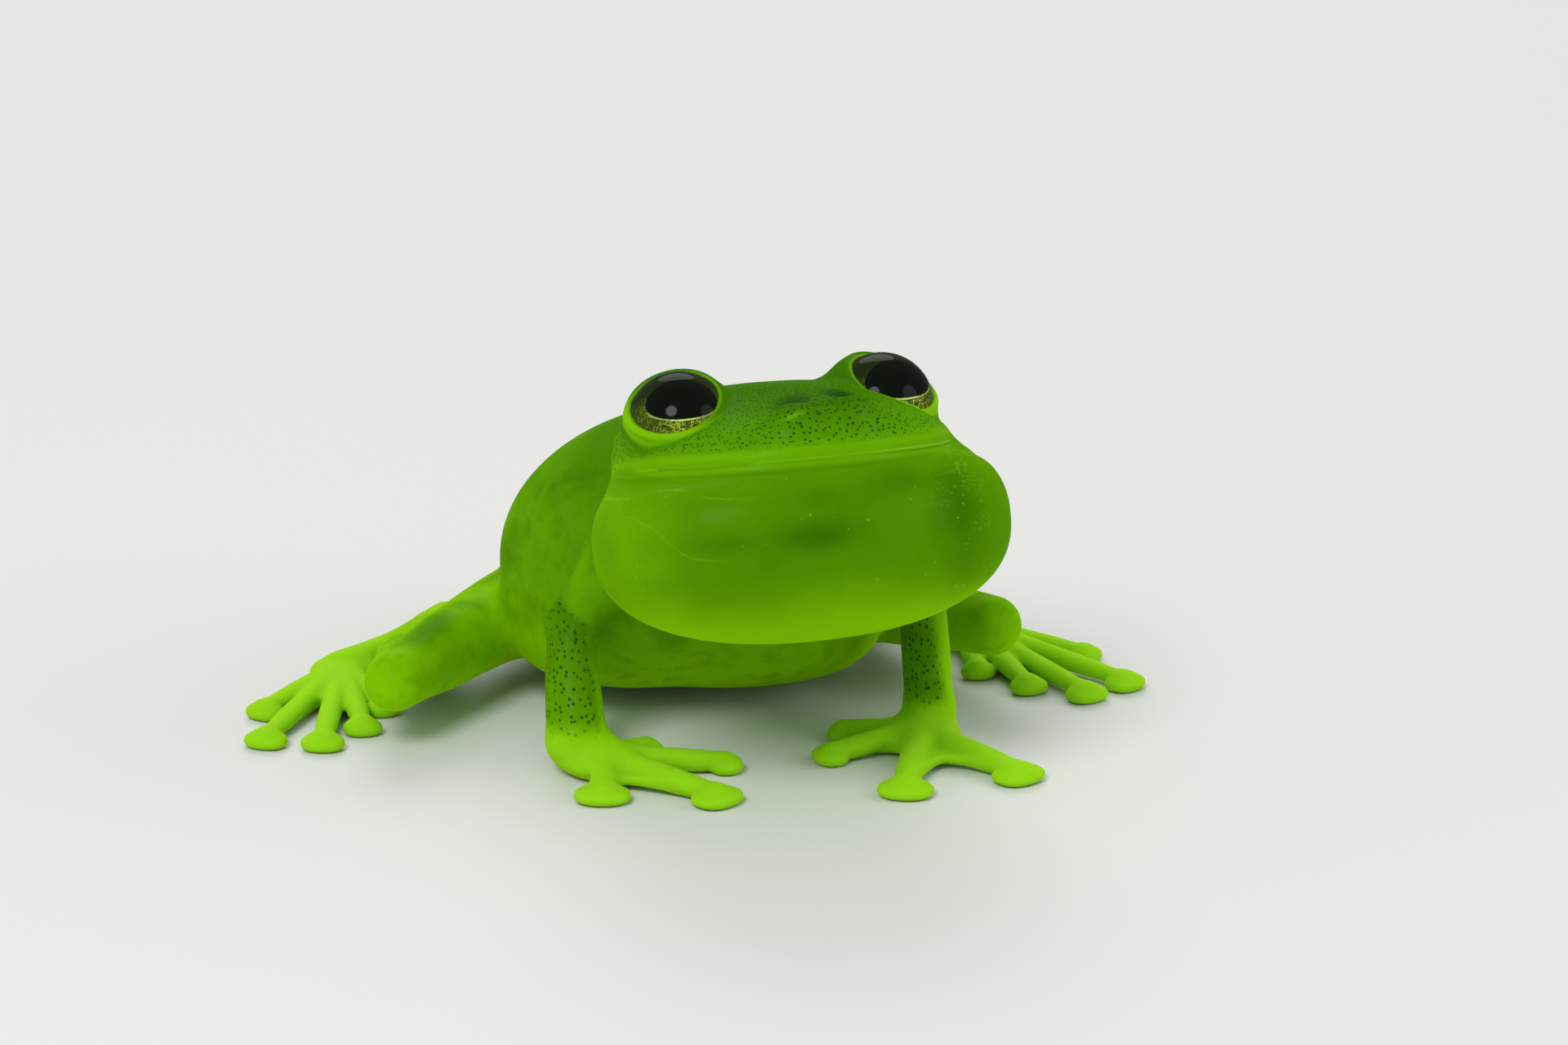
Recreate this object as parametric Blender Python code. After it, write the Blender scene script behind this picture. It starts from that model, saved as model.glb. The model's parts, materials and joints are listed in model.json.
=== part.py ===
"""A life-size glass frog: a calling male with a full vocal sac, its forebody raised on straight forelegs.

The shapes are worked out in millimetres in the frog's own frame: +X is its left, -Y is ahead of it,
+Z is up, and the floor it stands on is at 0. At the end every mesh is scaled to metres, and the whole
frog is moved so that the origin lies on the floor under the middle of it.
"""

import math

import bmesh
import bpy
from mathutils import Matrix, Vector

MM = 0.001
GAP = 0.3  # between two nodes that meet
EYE_GAP = 0.2  # between an eyeball and its socket
FLOOR = 0.0
LEFT, RIGHT = 1, -1
SIDE_NAMES = {LEFT: "left", RIGHT: "right"}

# The head, in its own frame: across to the left, back from the tip of the snout, up from the mouth.
SNOUT_TIP = Vector((0.17, -11.0, 10.15))
HEAD_PITCH = math.radians(15.0)
HEAD_TURN = math.radians(3.0)  # towards the frog's left
NECK = Vector((0.0, -3.5, 8.0))
HEAD_HALF_WIDTH = 4.38
HEAD_FRONT = 5.2  # from the widest place to the snout tip
HEAD_REAR = 3.0  # from the widest place to the back, inside the shoulders
HEAD_HEIGHT = 2.15
JAW_DEPTH = 1.7
HEAD_OUTLINE_POWER = 2.5
HEAD_FRONT_POWER = 5.0  # a high value stands the snout up, a low one rounds the cheeks
HEAD_SIDE_POWER = 2.5

SAC_CENTRE = Vector((0.06, 3.3, -1.9))
SAC_HALF = Vector((5.7, 4.2, 2.95))
SAC_POWER = 2.35

EYE_CENTRES = {RIGHT: Vector((-2.85, 4.2, 1.3)), LEFT: Vector((2.95, 4.2, 1.3))}
EYE_RADIUS = 1.4
EYE_OUTWARD = math.radians(32.0)
EYE_UPWARD = math.radians(48.0)
LID_THICKNESS = 0.16
LID_PLANE = 0.85  # from the centre of the eye to the rim of its lids

NOSTRIL = Vector((0.75, 0.75, 1.55))
NOSTRIL_BUMP = 0.36
NOSTRIL_PIT = 0.17
EAR = Vector((4.03, 6.5, 0.75))
EAR_RADIUS = 0.55
EAR_RING = 0.13
LIP_RADIUS = 0.26
LIP_REACH = 0.975  # how far out the lips lie on the outline of the head
UPPER_LIP_HEIGHT = 0.3
LOWER_LIP_HEIGHT = -0.32

# The trunk: distance behind the snout tip, half width, back, belly.
TRUNK = (
    (4.2, 2.6, 9.6, 7.0),
    (6.0, 3.4, 9.7, 4.8),
    (8.0, 4.2, 9.7, 2.5),
    (10.0, 5.1, 9.35, 0.9),
    (12.0, 5.55, 8.6, 0.4),
    (14.0, 5.0, 7.1, 0.4),
    (16.5, 3.75, 5.2, 0.7),
    (18.5, 2.75, 3.9, 0.9),
    (19.7, 1.9, 3.15, 1.1),
    (20.5, 1.2, 2.55, 1.35),
)
TRUNK_TURN = math.radians(1.5)  # the body's own turn, its rear towards the right
TRUNK_BACK_POWER = 2.15
TRUNK_BELLY_POWER = 3.4  # the belly is broader and flatter than the back
TRUNK_END_ROUNDING = 0.5
BELLY_CENTRE = Vector((1.9, 1.0, 2.6))  # the belly sags a little to the left
BELLY_HALF = Vector((3.3, 3.9, 1.85))
BELLY_POWER = 2.5

# Forelegs and hind legs: joints, then radii along each length. The side gives the sign of x.
ARMS = {
    RIGHT: {"shoulder": (-3.2, -4.1, 6.0), "elbow": (-4.75, -3.2, 3.75), "wrist": (-4.97, -4.9, 0.95)},
    LEFT: {"shoulder": (3.4, -4.1, 6.0), "elbow": (5.45, -3.2, 3.7), "wrist": (5.15, -4.9, 0.95)},
}
UPPER_ARM_RADII = (0.95, 0.8, 0.62)
FOREARM_RADII = {RIGHT: (0.6, 0.74, 0.8), LEFT: (0.6, 0.68, 0.68)}
LEGS = {
    RIGHT: {
        "hip": (-2.2, 6.8, 1.7),
        "knee": (-9.3, -1.6, 2.0),
        "ankle": (-5.7, 7.2, 0.7),
        "foot": (-9.4, 4.4, 0.5),
    },
    LEFT: {
        "hip": (1.7, 6.7, 1.7),
        "knee": (7.8, -2.2, 2.3),
        "ankle": (5.1, 7.0, 0.7),
        "foot": (8.6, 3.4, 0.5),
    },
}
THIGH_RADII = (1.2, 1.25, 0.85)
SHANK_RADII = (0.8, 0.98, 0.52)
TARSUS_RADII = (0.55, 0.45, 0.5)

# Digits, from the outermost inwards: where the tip's disc lies, seen from the wrist or the foot's middle.
FINGERS = {
    RIGHT: ((0.0, -2.8), (2.9, -3.7), (4.0, -1.0), (2.3, 0.9)),
    LEFT: ((1.0, -4.15), (-2.4, -4.6), (-3.45, -1.15), (-2.4, 0.8)),
}
TOES = {
    RIGHT: ((-2.9, -2.4), (-3.4, -4.9), (-1.9, -5.6), (-0.5, -4.6), (0.5, -3.1)),
    LEFT: ((3.0, -2.9), (3.3, -5.6), (1.9, -6.3), (0.5, -5.2), (-0.5, -3.5)),
}
DIGIT_RADIUS = 0.38
DISC_HALF = Vector((0.72, 0.62, 0.34))
TOE_DISC_SCALE = 0.85
DIGIT_HEIGHT = 0.3  # the middle of a digit, which is flattened on the floor
PALM_HALF = Vector((0.95, 0.95, 0.5))
SOLE_HALF = Vector((0.9, 0.8, 0.42))
WEB_TOP = 0.55
FINGER_WEBS = (0.8, 0.45, 0.3)
TOE_WEBS = (0.55, 0.7, 0.7, 0.6)

GREEN = (0.16, 0.42, 0.02)
SAC_GREEN = (0.22, 0.50, 0.03)
EYE_BLACK = (0.01, 0.02, 0.01)


def clear_scene():
    for obj in list(bpy.data.objects):
        bpy.data.objects.remove(obj)


def head_matrix():
    """The head's frame, pitched up and turned about the neck, in the frog's frame."""
    back = Vector((0.0, math.cos(HEAD_PITCH), -math.sin(HEAD_PITCH)))
    up = Vector((0.0, math.sin(HEAD_PITCH), math.cos(HEAD_PITCH)))
    basis = Matrix((Vector((1.0, 0.0, 0.0)), back, up)).transposed().to_4x4()
    return turned_about_neck(HEAD_TURN) @ Matrix.Translation(SNOUT_TIP) @ basis


def turned_about_neck(angle):
    return Matrix.Translation(NECK) @ Matrix.Rotation(angle, 4, "Z") @ Matrix.Translation(-NECK)


def signed_power(value, power):
    return math.copysign(abs(value) ** power, value)


def smooth_through(knots, place):
    """A smooth curve through (place, value) knots, without overshoot."""
    if place <= knots[0][0]:
        return knots[0][1]
    for (a, va), (b, vb) in zip(knots, knots[1:]):
        if place <= b:
            share = (place - a) / (b - a)
            before = slope_at(knots, a)
            after = slope_at(knots, b)
            return (
                va * (1 + 2 * share) * (1 - share) ** 2
                + vb * share**2 * (3 - 2 * share)
                + (b - a) * share * (1 - share) * (before * (1 - share) - after * share)
            )
    return knots[-1][1]


def slope_at(knots, place):
    """The slope of the smooth curve at one of its knots: the harmonic mean of its neighbours' slopes."""
    index = [k[0] for k in knots].index(place)
    if index in (0, len(knots) - 1):
        i = min(index, len(knots) - 2)
        return (knots[i + 1][1] - knots[i][1]) / (knots[i + 1][0] - knots[i][0])
    (a, va), (b, vb), (c, vc) = knots[index - 1 : index + 2]
    left = (vb - va) / (b - a)
    right = (vc - vb) / (c - b)
    return 0.0 if left * right <= 0 else 2 * left * right / (left + right)


def new_object(name, points, faces):
    mesh = bpy.data.meshes.new(name)
    mesh.from_pydata([tuple(p) for p in points], [], faces)
    mesh.update()
    obj = bpy.data.objects.new(name, mesh)
    bpy.context.scene.collection.objects.link(obj)
    return obj


def closed_rings(name, rings, first_pole=None, last_pole=None):
    """A closed body from rings of points, all in step, ended by a pole or by a fan over the last ring."""
    count = len(rings[0])
    points = [p for ring in rings for p in ring]
    poles = []
    for pole, ring in ((first_pole, rings[0]), (last_pole, rings[-1])):
        poles.append(len(points))
        points.append(pole if pole is not None else sum((Vector(p) for p in ring), Vector()) / count)
    faces = []
    for r in range(len(rings) - 1):
        for j in range(count):
            k = (j + 1) % count
            faces.append((r * count + j, r * count + k, (r + 1) * count + k, (r + 1) * count + j))
    last = (len(rings) - 1) * count
    for j in range(count):
        k = (j + 1) % count
        faces.append((k, j, poles[0]))
        faces.append((last + j, last + k, poles[1]))
    obj = new_object(name, points, faces)
    face_outwards(obj)
    return obj


def face_outwards(obj):
    shape = bmesh.new()
    shape.from_mesh(obj.data)
    bmesh.ops.recalc_face_normals(shape, faces=shape.faces)
    shape.to_mesh(obj.data)
    shape.free()


def ellipsoid(name, centre, half, around=12, along=6, power=2.0, frame=None):
    """A closed superellipsoid, with its poles up and down, in a frame of its own where one is given."""
    rings = []
    for i in range(1, along):
        tilt = -math.pi / 2 + math.pi * i / along
        wide = abs(math.cos(tilt)) ** (2 / power)
        high = signed_power(math.sin(tilt), 2 / power)
        rings.append(
            [
                centre
                + Vector(
                    (
                        half.x * wide * signed_power(math.cos(turn), 2 / power),
                        half.y * wide * signed_power(math.sin(turn), 2 / power),
                        half.z * high,
                    )
                )
                for turn in (2 * math.pi * j / around for j in range(around))
            ]
        )
    poles = [centre - Vector((0, 0, half.z)), centre + Vector((0, 0, half.z))]
    obj = closed_rings(name, rings, *poles)
    if frame is not None:
        obj.data.transform(frame)
    return obj


def bent_path(points, steps):
    """A smooth line through the points, as (place, tangent, share of the way) at even steps."""
    points = [Vector(p) for p in points]
    if len(points) == 2:
        line = [points[0].lerp(points[1], i / steps) for i in range(steps + 1)]
    else:
        padded = [2 * points[0] - points[1], *points, 2 * points[-1] - points[-2]]
        line = []
        spans = len(points) - 1
        for i in range(steps + 1):
            place = min(i / steps * spans, spans - 1e-9)
            s = int(place)
            t = place - s
            a, b, c, d = padded[s : s + 4]
            square = (2 * a - 5 * b + 4 * c - d) * t**2
            cube = (3 * b - a - 3 * c + d) * t**3
            line.append(0.5 * (2 * b + (c - a) * t + square + cube))
    stations = []
    for i, p in enumerate(line):
        ahead = line[min(i + 1, steps)]
        behind = line[max(i - 1, 0)]
        stations.append((p, (ahead - behind).normalized(), i / steps))
    return stations


def limb(name, points, radii, sides=12, steps=5, cap_rings=2, flat=1.0):
    """A round length of limb along a smooth line, with rounded ends; flat squeezes it from above."""
    knots = [(i / (len(radii) - 1), r) for i, r in enumerate(radii)]
    stations = bent_path(points, steps)
    level = Vector((0, 0, 1))
    rings = []

    def ring(place, tangent, radius):
        across = tangent.cross(level).normalized()
        upward = across.cross(tangent).normalized()
        turns = (2 * math.pi * j / sides for j in range(sides))
        rings.append([place + radius * (math.cos(t) * across + flat * math.sin(t) * upward) for t in turns])

    start, start_tangent, _ = stations[0]
    end, end_tangent, _ = stations[-1]
    for c in range(1, cap_rings + 1):
        tilt = math.pi / 2 * c / (cap_rings + 1)
        ring(start - start_tangent * radii[0] * math.cos(tilt), start_tangent, radii[0] * math.sin(tilt))
    for place, tangent, share in stations:
        ring(place, tangent, smooth_through(knots, share))
    for c in range(cap_rings, 0, -1):
        tilt = math.pi / 2 * c / (cap_rings + 1)
        ring(end + end_tangent * radii[-1] * math.cos(tilt), end_tangent, radii[-1] * math.sin(tilt))
    return closed_rings(name, rings, start - start_tangent * radii[0], end + end_tangent * radii[-1])


def ring_body(name, centre, axis, radius, thickness, around=20, sides=6):
    """A closed ring, such as the rim of an ear."""
    across = axis.orthogonal().normalized()
    along = axis.cross(across).normalized()
    points, faces = [], []
    for i in range(around):
        turn = 2 * math.pi * i / around
        out = math.cos(turn) * across + math.sin(turn) * along
        for j in range(sides):
            tilt = 2 * math.pi * j / sides
            reach = radius + thickness * math.cos(tilt)
            points.append(centre + out * reach + axis * thickness * math.sin(tilt))
    for i in range(around):
        for j in range(sides):
            a, b = i * sides + j, i * sides + (j + 1) % sides
            c, d = (a + sides) % (around * sides), (b + sides) % (around * sides)
            faces.append((a, c, d, b))
    obj = new_object(name, points, faces)
    face_outwards(obj)
    return obj


def cut_away(obj, place, normal):
    """Takes off what lies on the normal's side of a plane and closes the cut."""
    shape = bmesh.new()
    shape.from_mesh(obj.data)
    everything = shape.verts[:] + shape.edges[:] + shape.faces[:]
    bmesh.ops.bisect_plane(
        shape, geom=everything, dist=1e-5, plane_co=Vector(place), plane_no=Vector(normal), clear_outer=True
    )
    rim = [e for e in shape.edges if e.is_boundary]
    if rim:
        bmesh.ops.holes_fill(shape, edges=rim, sides=0)
    bmesh.ops.recalc_face_normals(shape, faces=shape.faces)
    shape.to_mesh(obj.data)
    shape.free()


def apply_modifiers(obj):
    view = bpy.context.evaluated_depsgraph_get()
    made = bpy.data.meshes.new_from_object(obj.evaluated_get(view))
    obj.modifiers.clear()
    old = obj.data
    obj.data = made
    bpy.data.meshes.remove(old)


def boolean(obj, operation, others):
    """Joins or cuts an object by several closed bodies, which are then removed."""
    group = bpy.data.collections.new("tools")
    bpy.context.scene.collection.children.link(group)
    for other in others:
        bpy.context.scene.collection.objects.unlink(other)
        group.objects.link(other)
    step = obj.modifiers.new(operation.lower(), "BOOLEAN")
    step.operation = operation
    step.solver = "EXACT"
    step.operand_type = "COLLECTION"
    step.collection = group
    apply_modifiers(obj)
    for other in others:
        bpy.data.objects.remove(other)
    bpy.data.collections.remove(group)
    keep_largest(obj)
    return obj


def keep_largest(obj):
    """Leaves only the largest closed surface of a body."""
    shape = bmesh.new()
    shape.from_mesh(obj.data)
    shape.verts.ensure_lookup_table()
    unseen = set(shape.verts)
    islands = []
    while unseen:
        front = [unseen.pop()]
        island = set(front)
        while front:
            for edge in front.pop().link_edges:
                for vert in edge.verts:
                    if vert in unseen:
                        unseen.discard(vert)
                        island.add(vert)
                        front.append(vert)
        islands.append(island)
    islands.sort(key=box_volume)
    spare = [v for island in islands[:-1] for v in island]
    bmesh.ops.delete(shape, geom=spare, context="VERTS")
    shape.to_mesh(obj.data)
    shape.free()


def box_volume(verts):
    spans = [max(v.co[i] for v in verts) - min(v.co[i] for v in verts) for i in range(3)]
    return spans[0] * spans[1] * spans[2]


def swollen(obj, by):
    """A copy of a body that stands out from it by a set distance."""
    copy = obj.copy()
    copy.data = obj.data.copy()
    bpy.context.scene.collection.objects.link(copy)
    shape = bmesh.new()
    shape.from_mesh(copy.data)
    shape.normal_update()
    for vert in shape.verts:
        vert.co += vert.normal * by
    shape.to_mesh(copy.data)
    shape.free()
    return copy


def eye_direction(side):
    return Vector(
        (
            side * math.sin(EYE_OUTWARD) * math.cos(EYE_UPWARD),
            -math.cos(EYE_OUTWARD) * math.cos(EYE_UPWARD),
            math.sin(EYE_UPWARD),
        )
    )


def mirrored(point, side):
    return Vector((point.x * side, point.y, point.z))


def head_form(around=40, along=7):
    """The whole head without its details: a dome above the mouth and a shallower jaw below it."""
    rings = []
    for i in range(-along + 1, along):
        tilt = math.pi / 2 * i / along
        depth = HEAD_HEIGHT if i >= 0 else JAW_DEPTH
        rise = math.sin(tilt)
        ring = []
        for j in range(around):
            turn = 2 * math.pi * j / around
            side = signed_power(math.cos(turn), 2 / HEAD_OUTLINE_POWER)
            reach = signed_power(math.sin(turn), 2 / HEAD_OUTLINE_POWER)
            power = HEAD_FRONT_POWER + (HEAD_SIDE_POWER - HEAD_FRONT_POWER) * abs(side)
            wide = math.cos(tilt) ** (2 / power)
            back = HEAD_FRONT + reach * (HEAD_REAR if reach > 0 else HEAD_FRONT) * wide
            up = depth * signed_power(rise, 2 / power)
            ring.append(Vector((HEAD_HALF_WIDTH * side * wide, back, up)))
        rings.append(ring)
    poles = [Vector((0, HEAD_FRONT, -JAW_DEPTH)), Vector((0, HEAD_FRONT, HEAD_HEIGHT))]
    return closed_rings("head_form", rings, *poles)


def sac_form(around=36, along=14):
    return ellipsoid("sac_form", SAC_CENTRE, SAC_HALF, around, along, SAC_POWER)


def lip(height, side_steps=24):
    """A rolled edge of the mouth, from one corner round the snout to the other."""
    points = []
    for i in range(side_steps + 1):
        turn = math.pi + math.pi * i / side_steps
        across = HEAD_HALF_WIDTH * signed_power(math.cos(turn), 2 / HEAD_OUTLINE_POWER)
        ahead = HEAD_FRONT * signed_power(math.sin(turn), 2 / HEAD_OUTLINE_POWER)
        points.append(Vector((across * LIP_REACH, HEAD_FRONT + ahead * LIP_REACH, height)))
    return limb("lip", points, (LIP_RADIUS, LIP_RADIUS), sides=6, steps=side_steps, cap_rings=1)


def socket_tools(side):
    """The ball that an eye turns in, and the piece that opens the lids in front of it."""
    centre = EYE_CENTRES[side]
    look = eye_direction(side)
    ball = ellipsoid("socket", centre, Vector((1, 1, 1)) * (EYE_RADIUS + EYE_GAP), 20, 10)
    far = EYE_RADIUS + EYE_GAP + LID_THICKNESS + GAP
    start = centre + look * LID_PLANE
    turn = look.to_track_quat("Z", "Y").to_matrix().to_4x4()
    rings = []
    for depth in (0.0, far):
        rings.append(
            [
                start + turn @ Vector((far * math.cos(a), far * math.sin(a), depth))
                for a in (2 * math.pi * j / 16 for j in range(16))
            ]
        )
    return [ball, closed_rings("opening", rings)]


def build_head(form, matrix):
    head = form.copy()
    head.data = form.data.copy()
    bpy.context.scene.collection.objects.link(head)
    head.name = "head"
    orbit = Vector((1, 1, 1)) * (EYE_RADIUS + EYE_GAP + LID_THICKNESS)
    added, taken = [lip(UPPER_LIP_HEIGHT)], []
    for side in (LEFT, RIGHT):
        added.append(ellipsoid("orbit", EYE_CENTRES[side], orbit, 24, 12))
        bump = mirrored(NOSTRIL, side)
        added.append(ellipsoid("nostril_bump", bump, Vector((1, 1, 0.9)) * NOSTRIL_BUMP, 12, 6))
        ear_axis = Vector((side, 0.25, 0.1)).normalized()
        added.append(ring_body("ear", mirrored(EAR, side), ear_axis, EAR_RADIUS, EAR_RING, 14, 5))
        pit = bump + Vector((side * 0.22, -0.12, 0.26))
        taken.append(ellipsoid("nostril_pit", pit, Vector((1, 1, 1)) * NOSTRIL_PIT, 8, 4))
        taken += socket_tools(side)
    boolean(head, "UNION", added)
    boolean(head, "DIFFERENCE", taken)
    cut_away(head, (0, 0, GAP / 2), (0, 0, -1))
    head.data.transform(matrix)
    return head


def build_throat(form, sac, matrix):
    """The lower jaw with the full vocal sac below it."""
    throat = form.copy()
    throat.data = form.data.copy()
    bpy.context.scene.collection.objects.link(throat)
    throat.name = "vocal_sac"
    bulge = sac.copy()
    bulge.data = sac.data.copy()
    bpy.context.scene.collection.objects.link(bulge)
    boolean(throat, "UNION", [bulge, lip(LOWER_LIP_HEIGHT)])
    cut_away(throat, (0, 0, -GAP / 2), (0, 0, 1))
    throat.data.transform(matrix)
    return throat


def build_eyes(matrix):
    eyes = []
    for side in (LEFT, RIGHT):
        look = eye_direction(side).to_track_quat("Z", "Y").to_matrix().to_4x4()
        frame = matrix @ Matrix.Translation(EYE_CENTRES[side]) @ look
        half = Vector((1, 1, 1)) * EYE_RADIUS
        eyes.append(ellipsoid(f"eye_{SIDE_NAMES[side]}", Vector(), half, 20, 10, frame=frame))
    return eyes


def trunk_form(around=32, steps=22):
    """The trunk from inside the back of the head to the vent, in upright sections."""
    knots = [[(row[0], row[k]) for row in TRUNK] for k in (1, 2, 3)]
    first, last = TRUNK[0][0], TRUNK[-1][0]
    rings = []
    for i in range(steps + 1):
        behind = first + (last - first) * i / steps
        half_width, back, belly = (smooth_through(k, behind) for k in knots)
        rings.append(trunk_ring(behind, half_width, back, belly, 1.0, around))
    half_width, back, belly = (k[-1][1] for k in knots)
    for c in (1, 2):
        tilt = math.pi / 2 * c / 3
        rings.append(
            trunk_ring(
                last + TRUNK_END_ROUNDING * math.sin(tilt), half_width, back, belly, math.cos(tilt), around
            )
        )
    pole = Vector((0, SNOUT_TIP.y + last + TRUNK_END_ROUNDING, (back + belly) / 2))
    trunk = closed_rings("trunk_form", rings, None, pole)
    trunk.data.transform(turned_about_neck(TRUNK_TURN))
    return boolean(trunk, "UNION", [ellipsoid("belly", BELLY_CENTRE, BELLY_HALF, 32, 14, BELLY_POWER)])


def trunk_ring(behind, half_width, back, belly, share, around):
    middle, half_height = (back + belly) / 2, (back - belly) / 2
    ring = []
    for j in range(around):
        turn = 2 * math.pi * j / around
        power = TRUNK_BACK_POWER if math.sin(turn) > 0 else TRUNK_BELLY_POWER
        across = half_width * share * signed_power(math.cos(turn), 2 / power)
        upward = half_height * share * signed_power(math.sin(turn), 2 / power)
        ring.append(Vector((across, SNOUT_TIP.y + behind, middle + upward)))
    return ring


def part_at(joint, first_end, second_end, first, second):
    """Cuts two lengths of a limb apart at their joint, on the plane midway between them."""
    joint = Vector(joint)
    first_way = (Vector(first_end) - joint).normalized()
    second_way = (Vector(second_end) - joint).normalized()
    normal = (first_way - second_way).normalized()
    cut_away(first, joint + normal * GAP / 2, -normal)
    cut_away(second, joint - normal * GAP / 2, normal)


def web(root, first_tip, second_tip, reach, top, steps=4):
    """The skin between two digits: a thin plate on the floor whose free edge is drawn in."""
    outline = [root]
    for i in range(steps + 1):
        share = i / steps
        drawn_in = 1 - 0.35 * math.sin(math.pi * share)
        outline.append(root + (first_tip.lerp(second_tip, share) - root) * reach * drawn_in)
    count = len(outline)
    points = [Vector((p.x, p.y, z)) for z in (top, top - 2 * WEB_TOP) for p in outline]
    faces = []
    for i in range(1, count - 1):
        faces += [(0, i, i + 1), (count, count + i + 1, count + i)]
    for i in range(count):
        k = (i + 1) % count
        faces.append((i, k, count + k, count + i))
    plate = new_object("web", points, faces)
    face_outwards(plate)
    return plate


def digit_pieces(root, tips, disc_scale, webs, palm):
    """The digits of a hand or foot with their discs and webs, as overlapping closed pieces."""
    pieces = [palm]
    for tip in tips:
        end = Vector((tip.x, tip.y, DIGIT_HEIGHT))
        start = Vector((root.x, root.y, DIGIT_HEIGHT * 1.4)).lerp(end, 0.1)
        arch = start.lerp(end, 0.5) + Vector((0, 0, 0.12))
        pieces.append(limb("digit", [start, arch, end], (DIGIT_RADIUS * 1.1, DIGIT_RADIUS * 0.85), 7, 4, 1))
        heading = math.atan2(end.y - root.y, end.x - root.x) - math.pi / 2
        frame = Matrix.Translation(Vector((end.x, end.y, 0.22))) @ Matrix.Rotation(heading, 4, "Z")
        pieces.append(ellipsoid("disc", Vector(), DISC_HALF * disc_scale, 12, 5, frame=frame))
    outline = [Vector((t.x, t.y, 0)) for t in tips]
    for i, reach in enumerate(webs):
        start = Vector((root.x, root.y, 0)).lerp(outline[i], 0.05 + 0.02 * i)
        pieces.append(web(start, outline[i], outline[i + 1], reach, WEB_TOP + 0.01 * i))
    return pieces


def build_arm(side, trunk, head, sac):
    joints = {k: Vector(v) for k, v in ARMS[side].items()}
    name = SIDE_NAMES[side]
    upper = limb(f"upper_arm_{name}", [joints["shoulder"], joints["elbow"]], UPPER_ARM_RADII, 12, 4)
    fore = limb(f"forearm_{name}", [joints["elbow"], joints["wrist"]], FOREARM_RADII[side], 12, 5)
    part_at(joints["elbow"], joints["shoulder"], joints["wrist"], upper, fore)
    boolean(upper, "DIFFERENCE", [swollen(trunk, GAP), swollen(sac, GAP), swollen(head, GAP)])
    wrist = joints["wrist"]
    tips = [Vector((wrist.x + dx, wrist.y + dy, 0)) for dx, dy in FINGERS[side]]
    middle = sum(tips, Vector()) / len(tips)
    root = Vector((wrist.x, wrist.y, 0)).lerp(middle, 0.3)
    palm = ellipsoid("palm", Vector((root.x, root.y, 0.42)), PALM_HALF, 14, 6)
    bridge = limb("bridge", [wrist, Vector((root.x, root.y, 0.45))], (FOREARM_RADII[side][-1], 0.5), 10, 3)
    elbow_way = (joints["elbow"] - wrist).normalized()
    cut_away(fore, wrist + elbow_way * GAP / 2, -elbow_way)
    cut_away(bridge, wrist - elbow_way * GAP / 2, elbow_way)
    pieces = digit_pieces(root, tips, 1.0, FINGER_WEBS, palm)
    hand = pieces.pop(0)
    hand.name = f"hand_{name}"
    boolean(hand, "UNION", [bridge, *pieces])
    boolean(hand, "DIFFERENCE", [swollen(fore, GAP)])
    cut_away(hand, (0, 0, FLOOR), (0, 0, -1))
    return [upper, fore, hand]


def build_leg(side, trunk):
    joints = {k: Vector(v) for k, v in LEGS[side].items()}
    name = SIDE_NAMES[side]
    thigh = limb(f"thigh_{name}", [joints["hip"], joints["knee"]], THIGH_RADII, 14, 6)
    shank = limb(f"shank_{name}", [joints["knee"], joints["ankle"]], SHANK_RADII, 12, 6)
    part_at(joints["knee"], joints["hip"], joints["ankle"], thigh, shank)
    boolean(thigh, "DIFFERENCE", [swollen(trunk, GAP)])
    foot_middle = joints["foot"]
    tips = [Vector((foot_middle.x + dx, foot_middle.y + dy, 0)) for dx, dy in TOES[side]]
    sole = ellipsoid("sole", Vector((foot_middle.x, foot_middle.y, 0.36)), SOLE_HALF, 14, 6)
    tarsus = limb("tarsus", [joints["ankle"], foot_middle], TARSUS_RADII, 10, 4)
    part_at(joints["ankle"], joints["knee"], foot_middle, shank, tarsus)
    pieces = digit_pieces(foot_middle, tips, TOE_DISC_SCALE, TOE_WEBS, sole)
    foot = pieces.pop(0)
    foot.name = f"foot_{name}"
    boolean(foot, "UNION", [tarsus, *pieces])
    boolean(foot, "DIFFERENCE", [swollen(shank, GAP)])
    cut_away(foot, (0, 0, FLOOR), (0, 0, -1))
    return [thigh, shank, foot]


def finish(obj, colour, roughness):
    """Names the mesh, shades it smooth and gives it a skin of its own."""
    obj.data.name = obj.name
    skin = bpy.data.materials.new(f"{obj.name}_skin")
    skin.use_nodes = True
    surface = skin.node_tree.nodes["Principled BSDF"]
    surface.inputs["Base Color"].default_value = (*colour, 1.0)
    surface.inputs["Roughness"].default_value = roughness
    surface.inputs["Metallic"].default_value = 0.0
    obj.data.materials.clear()
    obj.data.materials.append(skin)
    obj.data.shade_smooth()
    obj.data.set_sharp_from_angle(angle=math.radians(40))


def place_over_origin(objects):
    """Scales the frog to metres and puts the origin on the floor under the middle of it."""
    corners = [v.co for obj in objects for v in obj.data.vertices]
    middle = [(min(c[i] for c in corners) + max(c[i] for c in corners)) / 2 for i in range(2)]
    move = Matrix.Translation(Vector((-middle[0], -middle[1], 0)))
    for obj in objects:
        obj.data.transform(Matrix.Scale(MM, 4) @ move)
        obj.data.update()


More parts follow.
